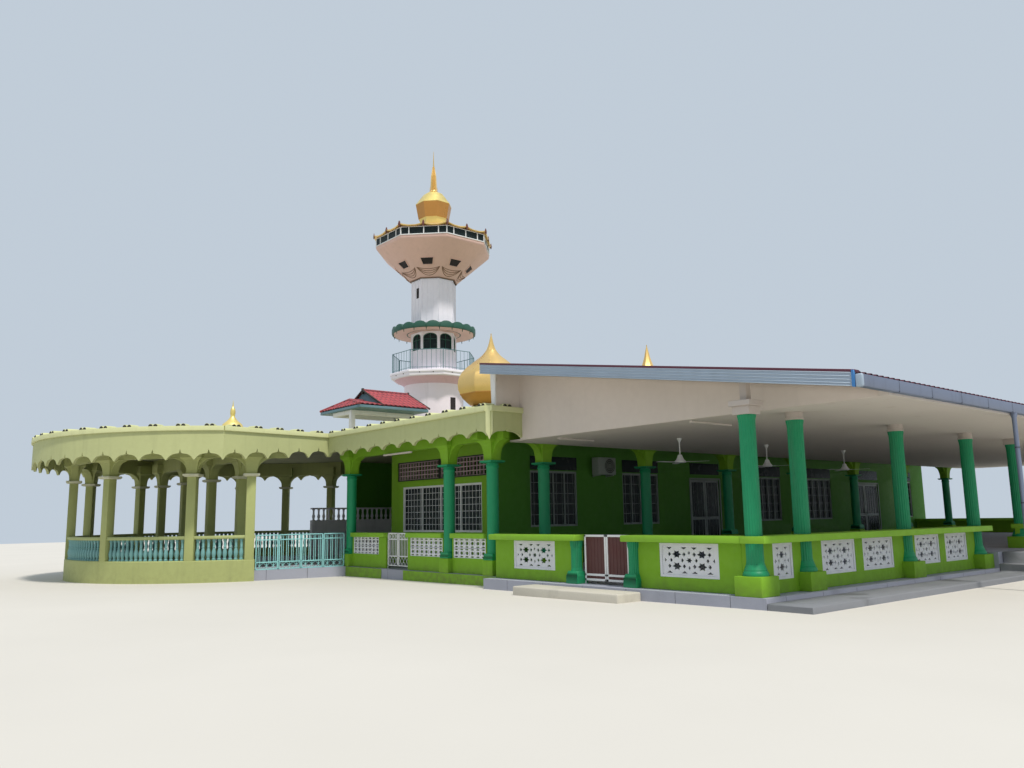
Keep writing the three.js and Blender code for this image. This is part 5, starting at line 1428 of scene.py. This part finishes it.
def ring_part(section, start, end):
    """A section as radius and z, swept round the porch from start to end degrees."""
    shape = face_through([(0.0, -radius, z) for radius, z in section])
    tipped(shape, start, "Z")
    bmesh.ops.spin(shape, geom=shape.verts[:] + shape.edges[:] + shape.faces[:], axis=(0, 0, 1),
                   cent=(0, 0, 0),
                   angle=radians(end - start), steps=ceil(abs(end - start) / ARC_STEP), use_merge=False,
                   use_duplicate=False)
    bmesh.ops.recalc_face_normals(shape, faces=shape.faces[:])
    return moved(shape, *PORCH)


def bent(shape, radius, start):
    """A shape made along x at y = -radius, wrapped round the porch from a start angle, towards the left."""
    for vert in shape.verts:
        angle = radians(start) - vert.co.x / radius
        reach = -vert.co.y
        vert.co.x, vert.co.y = reach * sin(angle), -reach * cos(angle)
    bmesh.ops.recalc_face_normals(shape, faces=shape.faces[:])
    return moved(shape, *PORCH)


def at_ring(shapes, radius, angle):
    return set_round(shapes, PORCH, radius, angle)


BALUSTER = ((0.0, 0.0), (0.056, 0.0), (0.056, 0.04), (0.036, 0.06), (0.062, 0.17), (0.064, 0.22),
            (0.044, 0.31),
            (0.034, 0.35), (0.048, 0.37), (0.034, 0.39), (0.04, 0.47), (0.036, 0.52), (0.054, 0.55),
            (0.054, 0.6),
            (0.0, 0.6))


def baluster(low, high):
    return turned([(radius, low + (high - low) * z / 0.6) for radius, z in BALUSTER], 8)


def make_porch_wall():
    start, end = PORCH_WALL_ARC
    on_ground = plan_box("porch_wall")[0].z
    wall = ring_part([(5.21, on_ground), (5.5, on_ground), (5.5, PORCH_WALL_TOP - 0.02),
                      (5.48, PORCH_WALL_TOP),
                      (5.23, PORCH_WALL_TOP), (5.21, PORCH_WALL_TOP - 0.02)], start, end)
    piece("porch_low_wall", [wall], OLIVE, ["porch_wall"])
    rail = ring_part([(5.28, 1.11), (5.44, 1.11), (5.455, 1.13), (5.455, 1.185), (5.44, 1.205),
                      (5.28, 1.205),
                      (5.265, 1.185), (5.265, 1.13)], start, end)
    piece("porch_rail", [rail], OLIVE_TRIM)
    pattern = baluster(PORCH_WALL_TOP - 0.002, 1.112)
    balusters = []
    half_column = degrees(0.14 / PORCH_RADIUS)
    for a, b in zip(PORCH_ANGLES, PORCH_ANGLES[1:]):
        pitch = degrees(0.155 / PORCH_RADIUS)
        for angle in spread(a - half_column, b + half_column, pitch):
            balusters += at_ring([pattern.copy()], PORCH_RADIUS, angle)
    pattern.free()
    piece("porch_balusters", balusters, TEAL_BALUSTER)


def porch_column(bottom):
    """A square column of the porch, its capital and its flare."""
    low, high = PORCH_CAPITAL
    return ([pedestal(0.13, bottom, low + 0.003)], [capital_slab(CAPITAL_HALF, low, high)],
            flare(high - OVERLAP, PORCH_BEAM_BOTTOM, 0.15, 0.16, BEAM_HALF, 0.5, [0, 180]))


def make_porch_arcade():
    columns, capitals, flares = [], [], []
    for angle in PORCH_ANGLES:
        for kept, shapes in zip((columns, capitals, flares), porch_column(PORCH_WALL_TOP - 0.3)):
            kept.extend(at_ring(shapes, PORCH_RADIUS, angle))
    for x in CROSS_ROW_XS:
        for kept, shapes in zip((columns, capitals, flares), porch_column(FLOOR + GAP)):
            kept.extend(placed(shapes, x, CROSS_ROW))
    inner, outer = PORCH_RADIUS - BEAM_HALF, PORCH_RADIUS + BEAM_HALF
    beam = [(inner, PORCH_BEAM_BOTTOM), (outer, PORCH_BEAM_BOTTOM), (outer, SLAB_BOTTOM),
            (inner, SLAB_BOTTOM)]
    flares.append(ring_part(beam, 80.0, -158.0))
    flares.append(block(-25.7, -15.55, CROSS_ROW - BEAM_HALF, CROSS_ROW + BEAM_HALF, PORCH_BEAM_BOTTOM,
                        SLAB_BOTTOM))
    piece("porch_columns", columns, OLIVE, ["porch_arcade"])
    piece("porch_capitals", capitals, CAPITAL_CREAM)
    piece("porch_flares_and_beams", flares, OLIVE)


LINK = ((-14.795, -3.603), (-15.30, -0.10))


def make_porch_fascia():
    start, end = FASCIA_ARC
    length = radians(start - end) * PORCH_FASCIA_RADIUS
    count = round(length / PORCH_SCALLOP)
    radius = PORCH_FASCIA_RADIUS
    curtain = scalloped(length, count, PORCH_TIP, PORCH_RISE, -radius)
    trim = trim_band(length, 90, -radius)
    shapes = [bent(curtain, radius, start)]
    (ax, ay), (bx, by) = LINK
    span = hypot(bx - ax, by - ay)
    heading = degrees(atan2(by - ay, bx - ax))
    link_count = round(span / PORCH_SCALLOP)
    drop = TIP - PORCH_TIP
    link = scalloped(span, link_count, PORCH_TIP, PORCH_RISE, 0.0)
    for vert in link.verts:
        if vert.co.z < TRIM_BOTTOM - 0.1:
            vert.co.z += drop * vert.co.x / span
    shapes.append(moved(link, ax, ay, 0, heading))
    piece("porch_scallops", shapes, FASCIA, ["porch_fascia"])
    trims = [bent(trim, radius, start), moved(trim_band(span, 1, 0.0), ax, ay, 0, heading)]
    cream, black = [], []
    for i in range(count):
        angle = start + (end - start) * (i + 0.5) / count
        a, b = tile_end(0.0)
        cream += at_ring(a, radius, angle)
        black += at_ring(b, radius, angle)
    for i in range(link_count):
        a, b = tile_end(0.0)
        x = span * (i + 0.5) / link_count
        cream += placed(placed(a, x), ax, ay, 0, heading)
        black += placed(placed(b, x), ax, ay, 0, heading)
    piece("porch_trim_and_tiles", trims + cream, FASCIA_TRIM)
    piece("porch_black_tile_ends", black, BLACK_CLAY)


def make_porch_finial():
    low, high = plan_box("porch_finial")
    x, y = (low.x + high.x) / 2, (low.y + high.y) / 2
    bottom = low.z
    profile = [(0.0, 0.0), (0.62, 0.0), (0.62, 0.05), (0.60, 0.15), (0.56, 0.3), (0.47, 0.48), (0.39, 0.64),
               (0.33, 0.77), (0.25, 0.84), (0.2, 0.88), (0.14, 0.94), (0.11, 0.99), (0.08, 1.04),
               (0.075, 1.08),
               (0.085, 1.13), (0.092, 1.18), (0.088, 1.24), (0.08, 1.3), (0.05, 1.36), (0.03, 1.4),
               (0.016, 1.5),
               (0.004, 1.62), (0.0, 1.63)]
    piece("porch_bell_finial", [turned([(r, bottom + z) for r, z in profile], 24, 0.0, x, y)], GOLD_PALE,
          ["porch_finial"])


GATE_LINE = ((-15.553, -2.258), (-15.16, 0.44))


def folding_leaf(width):
    """One leaf of the teal gate: paired upright bars over a crossed lower band."""
    bottom, top = FLOOR + GAP, 1.205
    band = bottom + 0.2
    bars = leaf_frame(0.006, width - 0.006, 0.018, (bottom, band, top - 0.17, top - 0.032), 0.032, bottom,
                      top, 0.035)
    for x in spread(0.04, width - 0.04, 0.15):
        bars += [block(x + way * 0.026 - 0.008, x + way * 0.026 + 0.008, -0.008, 0.008, band, top - 0.05, 0)
                 for way in (-1, 1)]
    for x in spread(0.04, width - 0.04, 0.2):
        bars += crossed(x, 0.1, bottom + 0.03, band, 0.007)
        bars.append(block(x - 0.007, x + 0.007, -0.007, 0.007, bottom + 0.03, band, 0))
    return bars


def make_folding_gate():
    (ax, ay), (bx, by) = GATE_LINE
    span = hypot(bx - ax, by - ay)
    heading = degrees(atan2(by - ay, bx - ax))
    leaves = []
    for i in range(4):
        leaves += placed(placed(folding_leaf(span / 4), span * i / 4), ax, ay, 0, heading)
    piece("teal_folding_gate", leaves, TEAL_PAINT, ["folding_gate"])


def make_inner_balustrade():
    """A half wall that carries turned balusters and a rail, along the left side behind the porch."""
    low, high = plan_box("inner_balustrade")
    wall_top, rail_bottom = 1.60, 2.02
    middle = (low.x + high.x) / 2
    shapes = [block(low.x, high.x, low.y, high.y, low.z, wall_top, 0.01),
              block(low.x, high.x, low.y, high.y, rail_bottom, high.z, 0.012)]
    pattern = baluster(wall_top - 0.002, rail_bottom + 0.002)
    shapes += [moved(pattern.copy(), middle, y) for y in spread(low.y, high.y, 0.22)]
    pattern.free()
    piece("inner_half_wall", shapes, TOWER_WHITE, ["inner_balustrade"])


# Domes

DOME_1, DOME_2 = (-15.10, 6.30), (-15.65, 15.60)
ONION = ((0.61, 0.0), (0.70, 0.03), (0.92, 0.12), (1.08, 0.26), (1.18, 0.42), (1.25, 0.58), (1.275, 0.76),
         (1.25, 0.94), (1.2, 1.08), (1.1, 1.24), (0.95, 1.4), (0.77, 1.54), (0.6, 1.68), (0.45, 1.79),
         (0.33, 1.9),
         (0.24, 2.01), (0.17, 2.12), (0.12, 2.25), (0.08, 2.38), (0.05, 2.52), (0.0, 2.72))
BOWL = 0.42  # height of the crease between the lower bowl and the body of a dome, at scale 1
OCTAGON_TURN = pi / 8


def make_dome(name, node, spot, scale):
    bottom = plan_box(node)[0].z
    body = [(radius * scale, bottom + z * scale) for radius, z in ONION if z >= BOWL]
    lower = [(radius * scale, bottom + z * scale) for radius, z in ONION if z <= BOWL]
    crease_radius, crease = lower[-1]
    shell = turned([(0.0, crease), *body], 8, OCTAGON_TURN, *spot)
    bowl = turned([(0.0, bottom), *lower, (0.0, crease)], 8, OCTAGON_TURN, *spot)
    tip = body[-1][1]
    rod = bar((*spot, tip - 0.12), (*spot, tip - 0.01), 0.02, 8)
    lip = lathe([(crease_radius + 0.012, -0.015), (crease_radius + 0.014, 0.01)], 8, crease, spot,
                OCTAGON_TURN)
    piece(f"{name}_body", [shell, rod], GOLD, [node])
    # The lower bowl in orange gold: a painted reflection of what lies below it.
    piece(f"{name}_lower_bowl", [bowl, lip], GOLD_ORANGE_REFLECTED)


# Red tiled lantern roof

TILE_ROOF = (-20.25, 2.95)  # line of the ridge, and the front eaves
TILE_HALF = 1.55
TILE_EDGE, TILE_RIDGE, HIP_RIDGE = 5.80, 6.55, 6.13
HIP_START, GABLET_SET, TILE_LENGTH = 0.42, 1.05, 3.05  # distances back from the front eaves
TILE_LIFT = 0.03


def tiled_slope(width, run, rise, narrows):
    """Roll tiles in courses on a slope that starts at y = 0, with both ends cut at the hips."""
    columns = round(width / 0.2)
    courses = round(hypot(run, rise) / 0.3)
    shape = bmesh.new()
    bmesh.ops.create_grid(shape, x_segments=columns * 4, y_segments=courses * 2, size=0.5)
    for vert in shape.verts:
        across, up = vert.co.x * width, vert.co.y + 0.5
        roll = 0.032 * abs(sin(pi * across / (width / columns)))
        course = up * courses
        lap = 0.022 * (1 - course % 1.0) if abs(course - round(course)) > 0.01 else 0.022
        vert.co = Vector((across, run * up, rise * up + roll + lap))
    for way in (-1, 1):
        normal = Vector((way, narrows, 0.0)).normalized()
        bmesh.ops.bisect_plane(shape, geom=shape.verts[:] + shape.edges[:] + shape.faces[:],
                               plane_co=(way * width / 2, 0, 0), plane_no=normal, clear_outer=True)
    return pushed(shape, (0, 0, -0.03))


def make_lantern():
    """A high gabled tile roof behind a lower hipped end that faces the street."""
    x, y = TILE_ROOF
    dress_solid("lantern_posts", "lantern_frame", 0.008, TOWER_WHITE)
    dress_solid("lantern_eaves_and_gablets", "lantern_tile_roof", 0.01, SLATE_TEAL)
    base = TILE_EDGE + TILE_LIFT
    rise, low_rise = TILE_RIDGE - TILE_EDGE, HIP_RIDGE - TILE_EDGE
    tiles = []
    for turn in (RIGHT, LEFT):
        high = tiled_slope(TILE_LENGTH - GABLET_SET + 0.1, TILE_HALF, rise, 0.0)
        tiles.append(moved(moved(high, 0, -TILE_HALF, base), x, y + (GABLET_SET + TILE_LENGTH) / 2, 0,
                           turn))
        low = tiled_slope(2 * GABLET_SET, TILE_HALF, low_rise, HIP_START / TILE_HALF)
        tiles.append(moved(moved(low, 0, -TILE_HALF, base), x, y + GABLET_SET, 0, turn))
    tiles.append(moved(tiled_slope(2 * TILE_HALF + 0.06, HIP_START, low_rise, TILE_HALF / HIP_START), x, y,
                       base))
    caps = [bar((way * TILE_HALF, 0, TILE_EDGE + 0.05), (0, HIP_START, HIP_RIDGE + 0.05), 0.05, 8)
            for way in (-1, 1)]
    caps.append(bar((0, HIP_START, HIP_RIDGE + 0.05), (0, GABLET_SET, HIP_RIDGE + 0.05), 0.055, 8))
    caps.append(bar((0, GABLET_SET - 0.06, TILE_RIDGE + 0.05), (0, TILE_LENGTH + 0.06, TILE_RIDGE + 0.05),
                    0.06, 10))
    tiles += placed(caps, x, y)
    piece("red_roof_tiles", tiles, RED_TILE)
    boards = []
    for face in (GABLET_SET - 0.05, TILE_LENGTH + 0.05):
        boards.append(block(-0.05, 0.05, face - 0.04, face + 0.04, TILE_RIDGE - 0.1, TILE_RIDGE + 0.13,
                            0.01))
        boards += [bar((way * TILE_HALF, face, TILE_EDGE + 0.04), (0, face, TILE_RIDGE + 0.05), 0.04, 6)
                   for way in (-1, 1)]
    piece("dark_verges_and_ridge_ends", placed(boards, x, y), BLACK_CLAY)


# Minaret

TOWER = (-24.60, 10.37)
EIGHTH = 45
BALCONY_LOW, BALCONY_TOP = 8.13, 8.42
SHAFT_HALF = 1.0
CABIN_LOW, CABIN_HIGH, CABIN_HALF = 14.64, 15.06, 2.63
WINDOW_LOW, WINDOW_HIGH = 14.68, 15.03


def across_corners(profile):
    return [(half / cos(OCTAGON_TURN), z) for half, z in profile]


def octagonal(profile, base=0.0):
    """A solid of half widths across the flats, turned eight-sided on the minaret's axis."""
    return lathe(across_corners(profile), 8, base, TOWER, OCTAGON_TURN)


def prism(half, low, high):
    """An eight-sided block of the minaret."""
    return octagonal([(half, low), (half, high)])


def on_face(shapes, half, index):
    return set_round(shapes, TOWER, half, EIGHTH * index)


def side_width(half):
    return 2 * half * tan(OCTAGON_TURN)


def make_tower_base():
    low, _ = plan_box("tower_base")
    drum = lathe([(1.42, low.z), (1.42, 7.80), (1.43, 7.86), (1.46, 7.92), (1.6, 8.0), (1.8, 8.1),
                  (1.86, BALCONY_LOW + 0.02)], 48, 0.0, TOWER)
    piece("tower_drum", [drum], PINK_WHITE, ["tower_base"])
    cone = turned([(1.425, 7.84), (1.475, 7.91), (1.62, 7.99), (1.83, 8.1), (1.88, BALCONY_LOW + 0.004),
                   (0.0, BALCONY_LOW + 0.004)], 48, 0.0, *TOWER)
    piece("tower_flare", [cone], PINK_CONE)
    down = BALCONY_LOW - BALCONY_TOP
    slab = octagonal([(1.9, down), (1.93, down + 0.03), (1.94, -0.13), (1.98, -0.11), (1.98, -0.02),
                      (1.96, 0.0)],
                     BALCONY_TOP)
    piece("balcony_slab", [slab], BALCONY_WHITE)
    dots = []
    for index in range(8):
        for x in (-0.32, 0.32):
            dots += on_face([bar((x, -0.008, 8.27), (x, 0.01, 8.27), 0.022, 10)], 1.945, index)
    slot = moved(moved(block(-0.15, 0.15, -1.43, -1.3, 6.61, 7.19, 0.006), turn=94), *TOWER)
    # The slot in the drum is a dark plate: painted shade for an opening; the dots share its dark.
    piece("tower_dark_openings", dots + [slot], DARK_VOID)


def make_balcony_railing():
    half, top = 1.855, 9.37
    bars = []
    width = side_width(half)
    for index in range(8):
        face_bars = [bar((-width / 2, 0, top - 0.01), (width / 2, 0, top - 0.01), 0.017, 8),
                     bar((-width / 2, 0, BALCONY_TOP + 0.11), (width / 2, 0, BALCONY_TOP + 0.11), 0.01, 8)]
        face_bars += [bar((x, 0, BALCONY_TOP), (x, 0, top), 0.009, 5)
                      for x in spread(-width / 2, width / 2, 0.22)]
        face_bars.append(bar((width / 2, 0, BALCONY_TOP), (width / 2, 0, top + 0.01), 0.018, 8))
        bars += on_face(face_bars, half, index)
    piece("balcony_bars", bars, RAIL_GREY, ["balcony_railing"])


def arched(x0, x1, low, high):
    """An outline with a round head."""
    radius = (x1 - x0) / 2
    middle = (x0 + x1) / 2
    spring = high - radius * 0.6
    arc = [(middle + radius * cos(pi * i / 8), spring + radius * 0.6 * sin(pi * i / 8)) for i in range(9)]
    return [(x0, low), (x1, low), *arc]


def make_tower_lantern():
    half = SHAFT_HALF
    width = side_width(half)
    bottom, top = BALCONY_TOP + GAP, 10.40
    low, high = 9.55, 10.33
    walls, frames, panes = [], [], []
    for index in range(8):
        wall = pierced(rectangle(-width / 2, width / 2, bottom, top), [arched(-0.34, 0.34, low, high)], 0.0,
                       0.1)
        ribs = [block(x - 0.01, x + 0.01, -0.01, 0.002, bottom, low - 0.08, 0)
                for x in spread(-width / 2, width / 2, 0.14)]
        sill = block(-width / 2, width / 2, -0.03, 0.0, low - 0.075, low - 0.02, 0.006)
        post = bar((width / 2, 0.0, bottom), (width / 2, 0.0, top - 0.01), 0.04, 8)
        walls += on_face([wall, sill, post, *ribs], half, index)
        rim = pierced(arched(-0.34, 0.34, low, high), [arched(-0.31, 0.31, low + 0.03, high - 0.03)], 0.02,
                      0.07)
        mid = [block(-0.01, 0.01, 0.02, 0.05, low + 0.03, high - 0.05, 0),
               block(-0.31, 0.31, 0.02, 0.05, 10.02, 10.04, 0)]
        frames += on_face([rim, *mid], half, index)
        panes += on_face([facing(arched(-0.33, 0.33, low + 0.01, high - 0.01), 0.06, 0.068)], half, index)
    walls.append(prism(0.9, top - 0.05, top))
    piece("lantern_room_walls", walls, TOWER_WHITE, ["tower_lantern"])
    piece("lantern_room_window_frames", frames, GREEN_FRAME)
    piece("lantern_room_panes", panes, PANE)


LOBES = 20


def make_lantern_room_roof():
    """A round roof with a flat pink soffit and an edge of upright half-round lobes."""
    low, high = plan_box("lantern_roof")
    soffit = lathe([(1.0, 0.03), (1.95, 0.0), (1.97, 0.03), (1.9, 0.1)], 64, low.z, TOWER)
    piece("green_roof_soffit", [soffit], FUNNEL_PINK, ["lantern_roof"])
    lobe = [(-0.31, 0.0), (0.31, 0.0)] + [(0.31 * cos(pi * i / 10), 0.1 + 0.2 * sin(pi * i / 10))
                                          for i in range(11)]
    shapes = [turned([(1.9, low.z + 0.01), (2.0, low.z + 0.01), (2.0, low.z + 0.12), (1.9, low.z + 0.14),
                      (1.9, low.z + 0.01)], 64, 0.0, *TOWER),
              octagonal([(1.85, low.z + 0.09), (1.5, high.z - 0.08), (1.04, high.z)])]
    for turn in [360 * i / LOBES for i in range(LOBES)]:
        plate = softened(facing(lobe, -2.02, -1.25), 0.012, 2)
        shapes.append(moved(plate, *TOWER, low.z + 0.02, turn))
    for turn in spread(0, 360, 360 / LOBES):
        shapes.append(moved(bar((0, -1.95, low.z - 0.11), (0, -1.95, low.z + 0.03), 0.01, 6, 0.026), *TOWER,
                            0, turn))
    piece("green_scalloped_roof", shapes, GREEN_ROOF)


def make_tower_shaft():
    half = SHAFT_HALF
    low, high = plan_box("tower_shaft")
    width = side_width(half)
    shaft = prism(half, low.z, high.z)
    ribs = []
    for index in range(8):
        face_ribs = [block(x - 0.02, x + 0.02, -0.016, 0.004, low.z, high.z - 0.02, 0)
                     for x in (-0.14, 0.14)]
        face_ribs.append(bar((width / 2, 0.0, low.z), (width / 2, 0.0, high.z - 0.01), 0.028, 8))
        ribs += on_face(face_ribs, half, index)
    piece("shaft_octagon", [shaft, *ribs], TOWER_WHITE, ["tower_shaft"])
    slits = []
    for index in (0, 4):
        slits += on_face([block(0.0, 0.19, -0.018, 0.01, 12.08, 12.58, 0.004)], half, index)
    # Slits as dark plates: painted shade for the openings.
    piece("shaft_slit_windows", slits, DARK_VOID)


def make_tower_funnel():
    low, high = plan_box("tower_funnel")
    foot_half, foot = 1.10, 13.06
    rim_half, rim = 2.56, 14.44
    slope = atan2(rim - foot, rim_half - foot_half)
    funnel = octagonal([(1.05, low.z), (1.09, low.z + 0.04), (foot_half, foot), (rim_half, rim),
                        (2.61, 14.5),
                        (CABIN_HALF, 14.56), (CABIN_HALF, high.z)])
    piece("funnel_cone", [funnel], FUNNEL_PINK, ["tower_funnel"])
    window = [(-0.22, 0.0), (0.22, 0.0), (0.305, 0.36), (-0.305, 0.36)]
    border = [(-0.25, -0.03), (0.25, -0.03), (0.34, 0.39), (-0.34, 0.39)]
    window_z = 13.53
    window_half = foot_half + (window_z - foot) / tan(slope)
    windows, rims, swags = [], [], []
    for index in range(8):
        windows += lean_on_face([facing(window, -0.006, 0.02)], slope, window_half, window_z, index)
        rims += lean_on_face([pierced(border, [window], -0.03, 0.02)], slope, window_half, window_z, index)
        for depth in (0.1, 0.22, 0.34, 0.46):
            points = [(x / 6 * 0.56, 0.53 - depth * (1 - (x / 6) ** 2)) for x in range(-6, 7)]
            lines = [bar((ax, -0.004, az), (bx, -0.004, bz), 0.016, 4)
                     for (ax, az), (bx, bz) in zip(points, points[1:])]
            swags += lean_on_face(lines, slope, foot_half, foot, index)
    collar = [(1.0, low.z), (1.07, low.z), (1.1, low.z + 0.035), (1.0, low.z + 0.05), (1.0, low.z)]
    swags.append(turned(across_corners(collar), 8, OCTAGON_TURN, *TOWER))
    # The funnel's windows are dark plates: painted shade for the dark inside.
    piece("funnel_windows", windows, DARK_VOID)
    piece("funnel_window_rims", rims, FUNNEL_PINK)
    piece("funnel_swags", swags, SWAG_BROWN)


def lean_on_face(shapes, slope, half, z, index):
    """Shapes made upright at y = 0, z = 0, laid on an outward slope of one of the eight faces."""
    lean = Matrix.Rotation(pi / 2 - slope, 4, "X")
    for shape in shapes:
        bmesh.ops.transform(shape, matrix=lean, verts=shape.verts)
        bmesh.ops.translate(shape, vec=(0, 0, z), verts=shape.verts)
    return on_face(shapes, half, index)


def make_tower_cabin():
    half = CABIN_HALF
    walls = [prism(half, CABIN_LOW + GAP, WINDOW_LOW), prism(half, WINDOW_HIGH, CABIN_HIGH)]
    piece("cabin_walls", walls, FUNNEL_PINK, ["tower_cabin"])
    width = side_width(half)
    frames, panes = [], []
    for index in range(8):
        bars = [block(-width / 2, width / 2, -0.03, 0.02, WINDOW_LOW - 0.035, WINDOW_LOW + 0.01, 0.006),
                block(-width / 2, width / 2, -0.012, 0.02, WINDOW_HIGH - 0.012, WINDOW_HIGH + 0.012, 0.004)]
        for share in (0.18, 0.5, 0.82, 1.0):
            x = -width / 2 + width * share
            bars.append(block(x - 0.024, x + 0.024, -0.02, 0.03, WINDOW_LOW, WINDOW_HIGH, 0.004))
        frames += on_face(bars, half, index)
        panes += on_face([block(-width / 2, width / 2, 0.012, 0.02, WINDOW_LOW, WINDOW_HIGH, 0)], half,
                         index)
    piece("cabin_window_bars", frames, WHITE_PAINT)
    piece("cabin_panes", panes, PANE)


def make_cabin_roof():
    """An eight-sided gold roof whose eaves sag between sixteen small horns."""
    low, high = plan_box("cabin_roof")
    eaves = 2.76
    roof = lathe([(2.6, 0.02), (2.73, 0.0), (eaves, 0.03), (2.72, 0.08), (2.3, 0.2), (1.7, 0.4),
                  (1.1, 0.65),
                  (0.66, high.z - low.z)], 96, low.z)
    for vert in roof.verts:
        heading = degrees(atan2(vert.co.y, vert.co.x))
        radius = hypot(vert.co.x, vert.co.y)
        past_corner = (heading - 22.5) % 45
        to_corner = min(past_corner, 45 - past_corner)
        share = 1.0 / cos(radians(22.5 - to_corner))
        vert.co.x *= share
        vert.co.y *= share
        horn = abs(cos(radians(heading - 22.5) * 8)) ** 6
        edge = max(0.0, (radius - 2.0) / (eaves - 2.0))
        vert.co.z += 0.1 * horn * edge ** 2
    piece("cabin_gold_roof", [moved(roof, *TOWER)], GOLD, ["cabin_roof"])
    horns = []
    foot = [(-0.04, -0.02), (0.04, -0.02), (0.04, 0.02), (-0.04, 0.02)]
    for i in range(16):
        reach = eaves / cos(OCTAGON_TURN) if i % 2 else eaves
        horn = stacked(foot, [(low.z, 1.0), (low.z + 0.12, 1.5), (low.z + 0.27, 0.6)])
        horns += set_round([horn], TOWER, reach - 0.03, i * EIGHTH / 2)
    piece("roof_horns", horns, HORN_BROWN)


def make_tower_spire():
    low, high = plan_box("tower_spire")
    bottom, top = low.z, high.z
    belt_low, belt_top, cone_foot = 16.26, 16.99, 17.68
    collar = octagonal([(0.6, bottom), (0.68, belt_low)])
    belt = octagonal([(0.71, belt_low - 0.01), (0.83, belt_top - 0.04), (0.84, belt_top)])
    helmet = octagonal([(0.84, -0.01), (0.84, 0.02), (0.77, 0.1), (0.62, 0.34), (0.46, 0.56), (0.34, 0.65),
                        (0.2, cone_foot - belt_top)], belt_top)
    section = fluted_section(1.0, 0.2)
    cone = stacked(section[::2], [(cone_foot, 0.17), (cone_foot + 0.3, 0.16), (cone_foot + 0.9, 0.13),
                                  (cone_foot + 1.4, 0.05)])
    ring = lathe([(0.17, 0.0), (0.2, 0.06), (0.17, 0.12)], 24, cone_foot)
    needle = bar((0, 0, cone_foot + 1.35), (0, 0, top), 0.035, 10, 0.008)
    prongs = [bar((0.19 * cos(a), 0.19 * sin(a), cone_foot - 0.02),
                  (0.2 * cos(a), 0.2 * sin(a), cone_foot + 0.3),
                  0.014, 6, 0.004) for a in [pi / 4 * i for i in range(8)]]
    piece("spire_helmet", [collar, helmet], GOLD_PALE, ["tower_spire"])
    # The belt takes the same orange gold that paints the domes' reflection.
    piece("spire_belt", [belt], GOLD_ORANGE_REFLECTED)
    piece("spire_needle", placed([cone, ring, needle, *prongs], *TOWER), GOLD)


make_ground_works()
make_verandah_columns()
make_side_parapet()
make_front_parapets()
make_rear_parapet()
make_front_gate()
make_verandah_roof()
make_gutter()
make_ceiling()
make_fans()
make_gable_walls()
make_hall_arcade()
make_canopy_parapets()
make_small_gate()
make_hall_windows()
make_vent()
make_doors()
make_door_frames()
make_air_conditioner()
make_hall_walls()
finished("flat_roof", ROOF_SOFFIT)
make_canopy_fascia()
make_porch_wall()
make_porch_arcade()
make_porch_fascia()
make_porch_finial()
make_folding_gate()
make_inner_balustrade()
make_dome("near_dome", "small_dome", DOME_1, 1.0)
make_dome("far_dome", "main_dome", DOME_2, 1.6)
make_lantern()
make_tower_base()
make_balcony_railing()
make_tower_lantern()
make_lantern_room_roof()
make_tower_shaft()
make_tower_funnel()
make_tower_cabin()
make_cabin_roof()
make_tower_spire()


# Stage, light, camera and view

FLOOR_REACH = 120.0


def lay_floor():
    """A plain pale floor that dips with the ground towards the porch."""
    floor_mesh = bpy.data.meshes.new("stage_floor")
    shape = face_through([(-FLOOR_REACH, -FLOOR_REACH, -0.0068 * FLOOR_REACH), (0.0, -FLOOR_REACH, 0.0),
                          (0.0, FLOOR_REACH, 0.0), (-FLOOR_REACH, FLOOR_REACH, -0.0068 * FLOOR_REACH)])
    other = face_through([(0.0, -FLOOR_REACH, 0.0), (FLOOR_REACH, -FLOOR_REACH, 0.0),
                          (FLOOR_REACH, FLOOR_REACH, 0.0), (0.0, FLOOR_REACH, 0.0)])
    other.to_mesh(floor_mesh)
    shape.from_mesh(floor_mesh)
    other.free()
    bmesh.ops.translate(shape, vec=SHIFT, verts=shape.verts)
    shape.to_mesh(floor_mesh)
    shape.free()
    paint = Paint("pale_floor")
    tone = paint.blend(paint.noise(0.2, 3), srgb(200, 195, 186), srgb(210, 205, 196))
    floor_mesh.materials.append(paint.coat(tone, 0.9))
    stage_floor = bpy.data.objects.new("stage_floor", floor_mesh)
    bpy.context.scene.collection.objects.link(stage_floor)


SUN_FROM = Vector((0.492, -0.087, 0.866))


def light_up():
    lamp = bpy.data.lights.new("soft_sun", "SUN")
    lamp.energy = 3.1
    lamp.angle = radians(6)
    lamp.color = (1.0, 0.965, 0.91)
    sun = bpy.data.objects.new("soft_sun", lamp)
    sun.rotation_mode = "QUATERNION"
    sun.rotation_quaternion = SUN_FROM.to_track_quat("Z", "Y")
    bpy.context.scene.collection.objects.link(sun)
    world = bpy.data.worlds.new("pale_studio")
    world.use_nodes = True
    backdrop = world.node_tree.nodes["Background"]
    backdrop.inputs["Color"].default_value = (0.72, 0.82, 0.93, 1.0)
    backdrop.inputs["Strength"].default_value = 0.74
    bpy.context.scene.world = world


lay_floor()
light_up()
set_camera()
bpy.context.scene.view_settings.view_transform = "Standard"
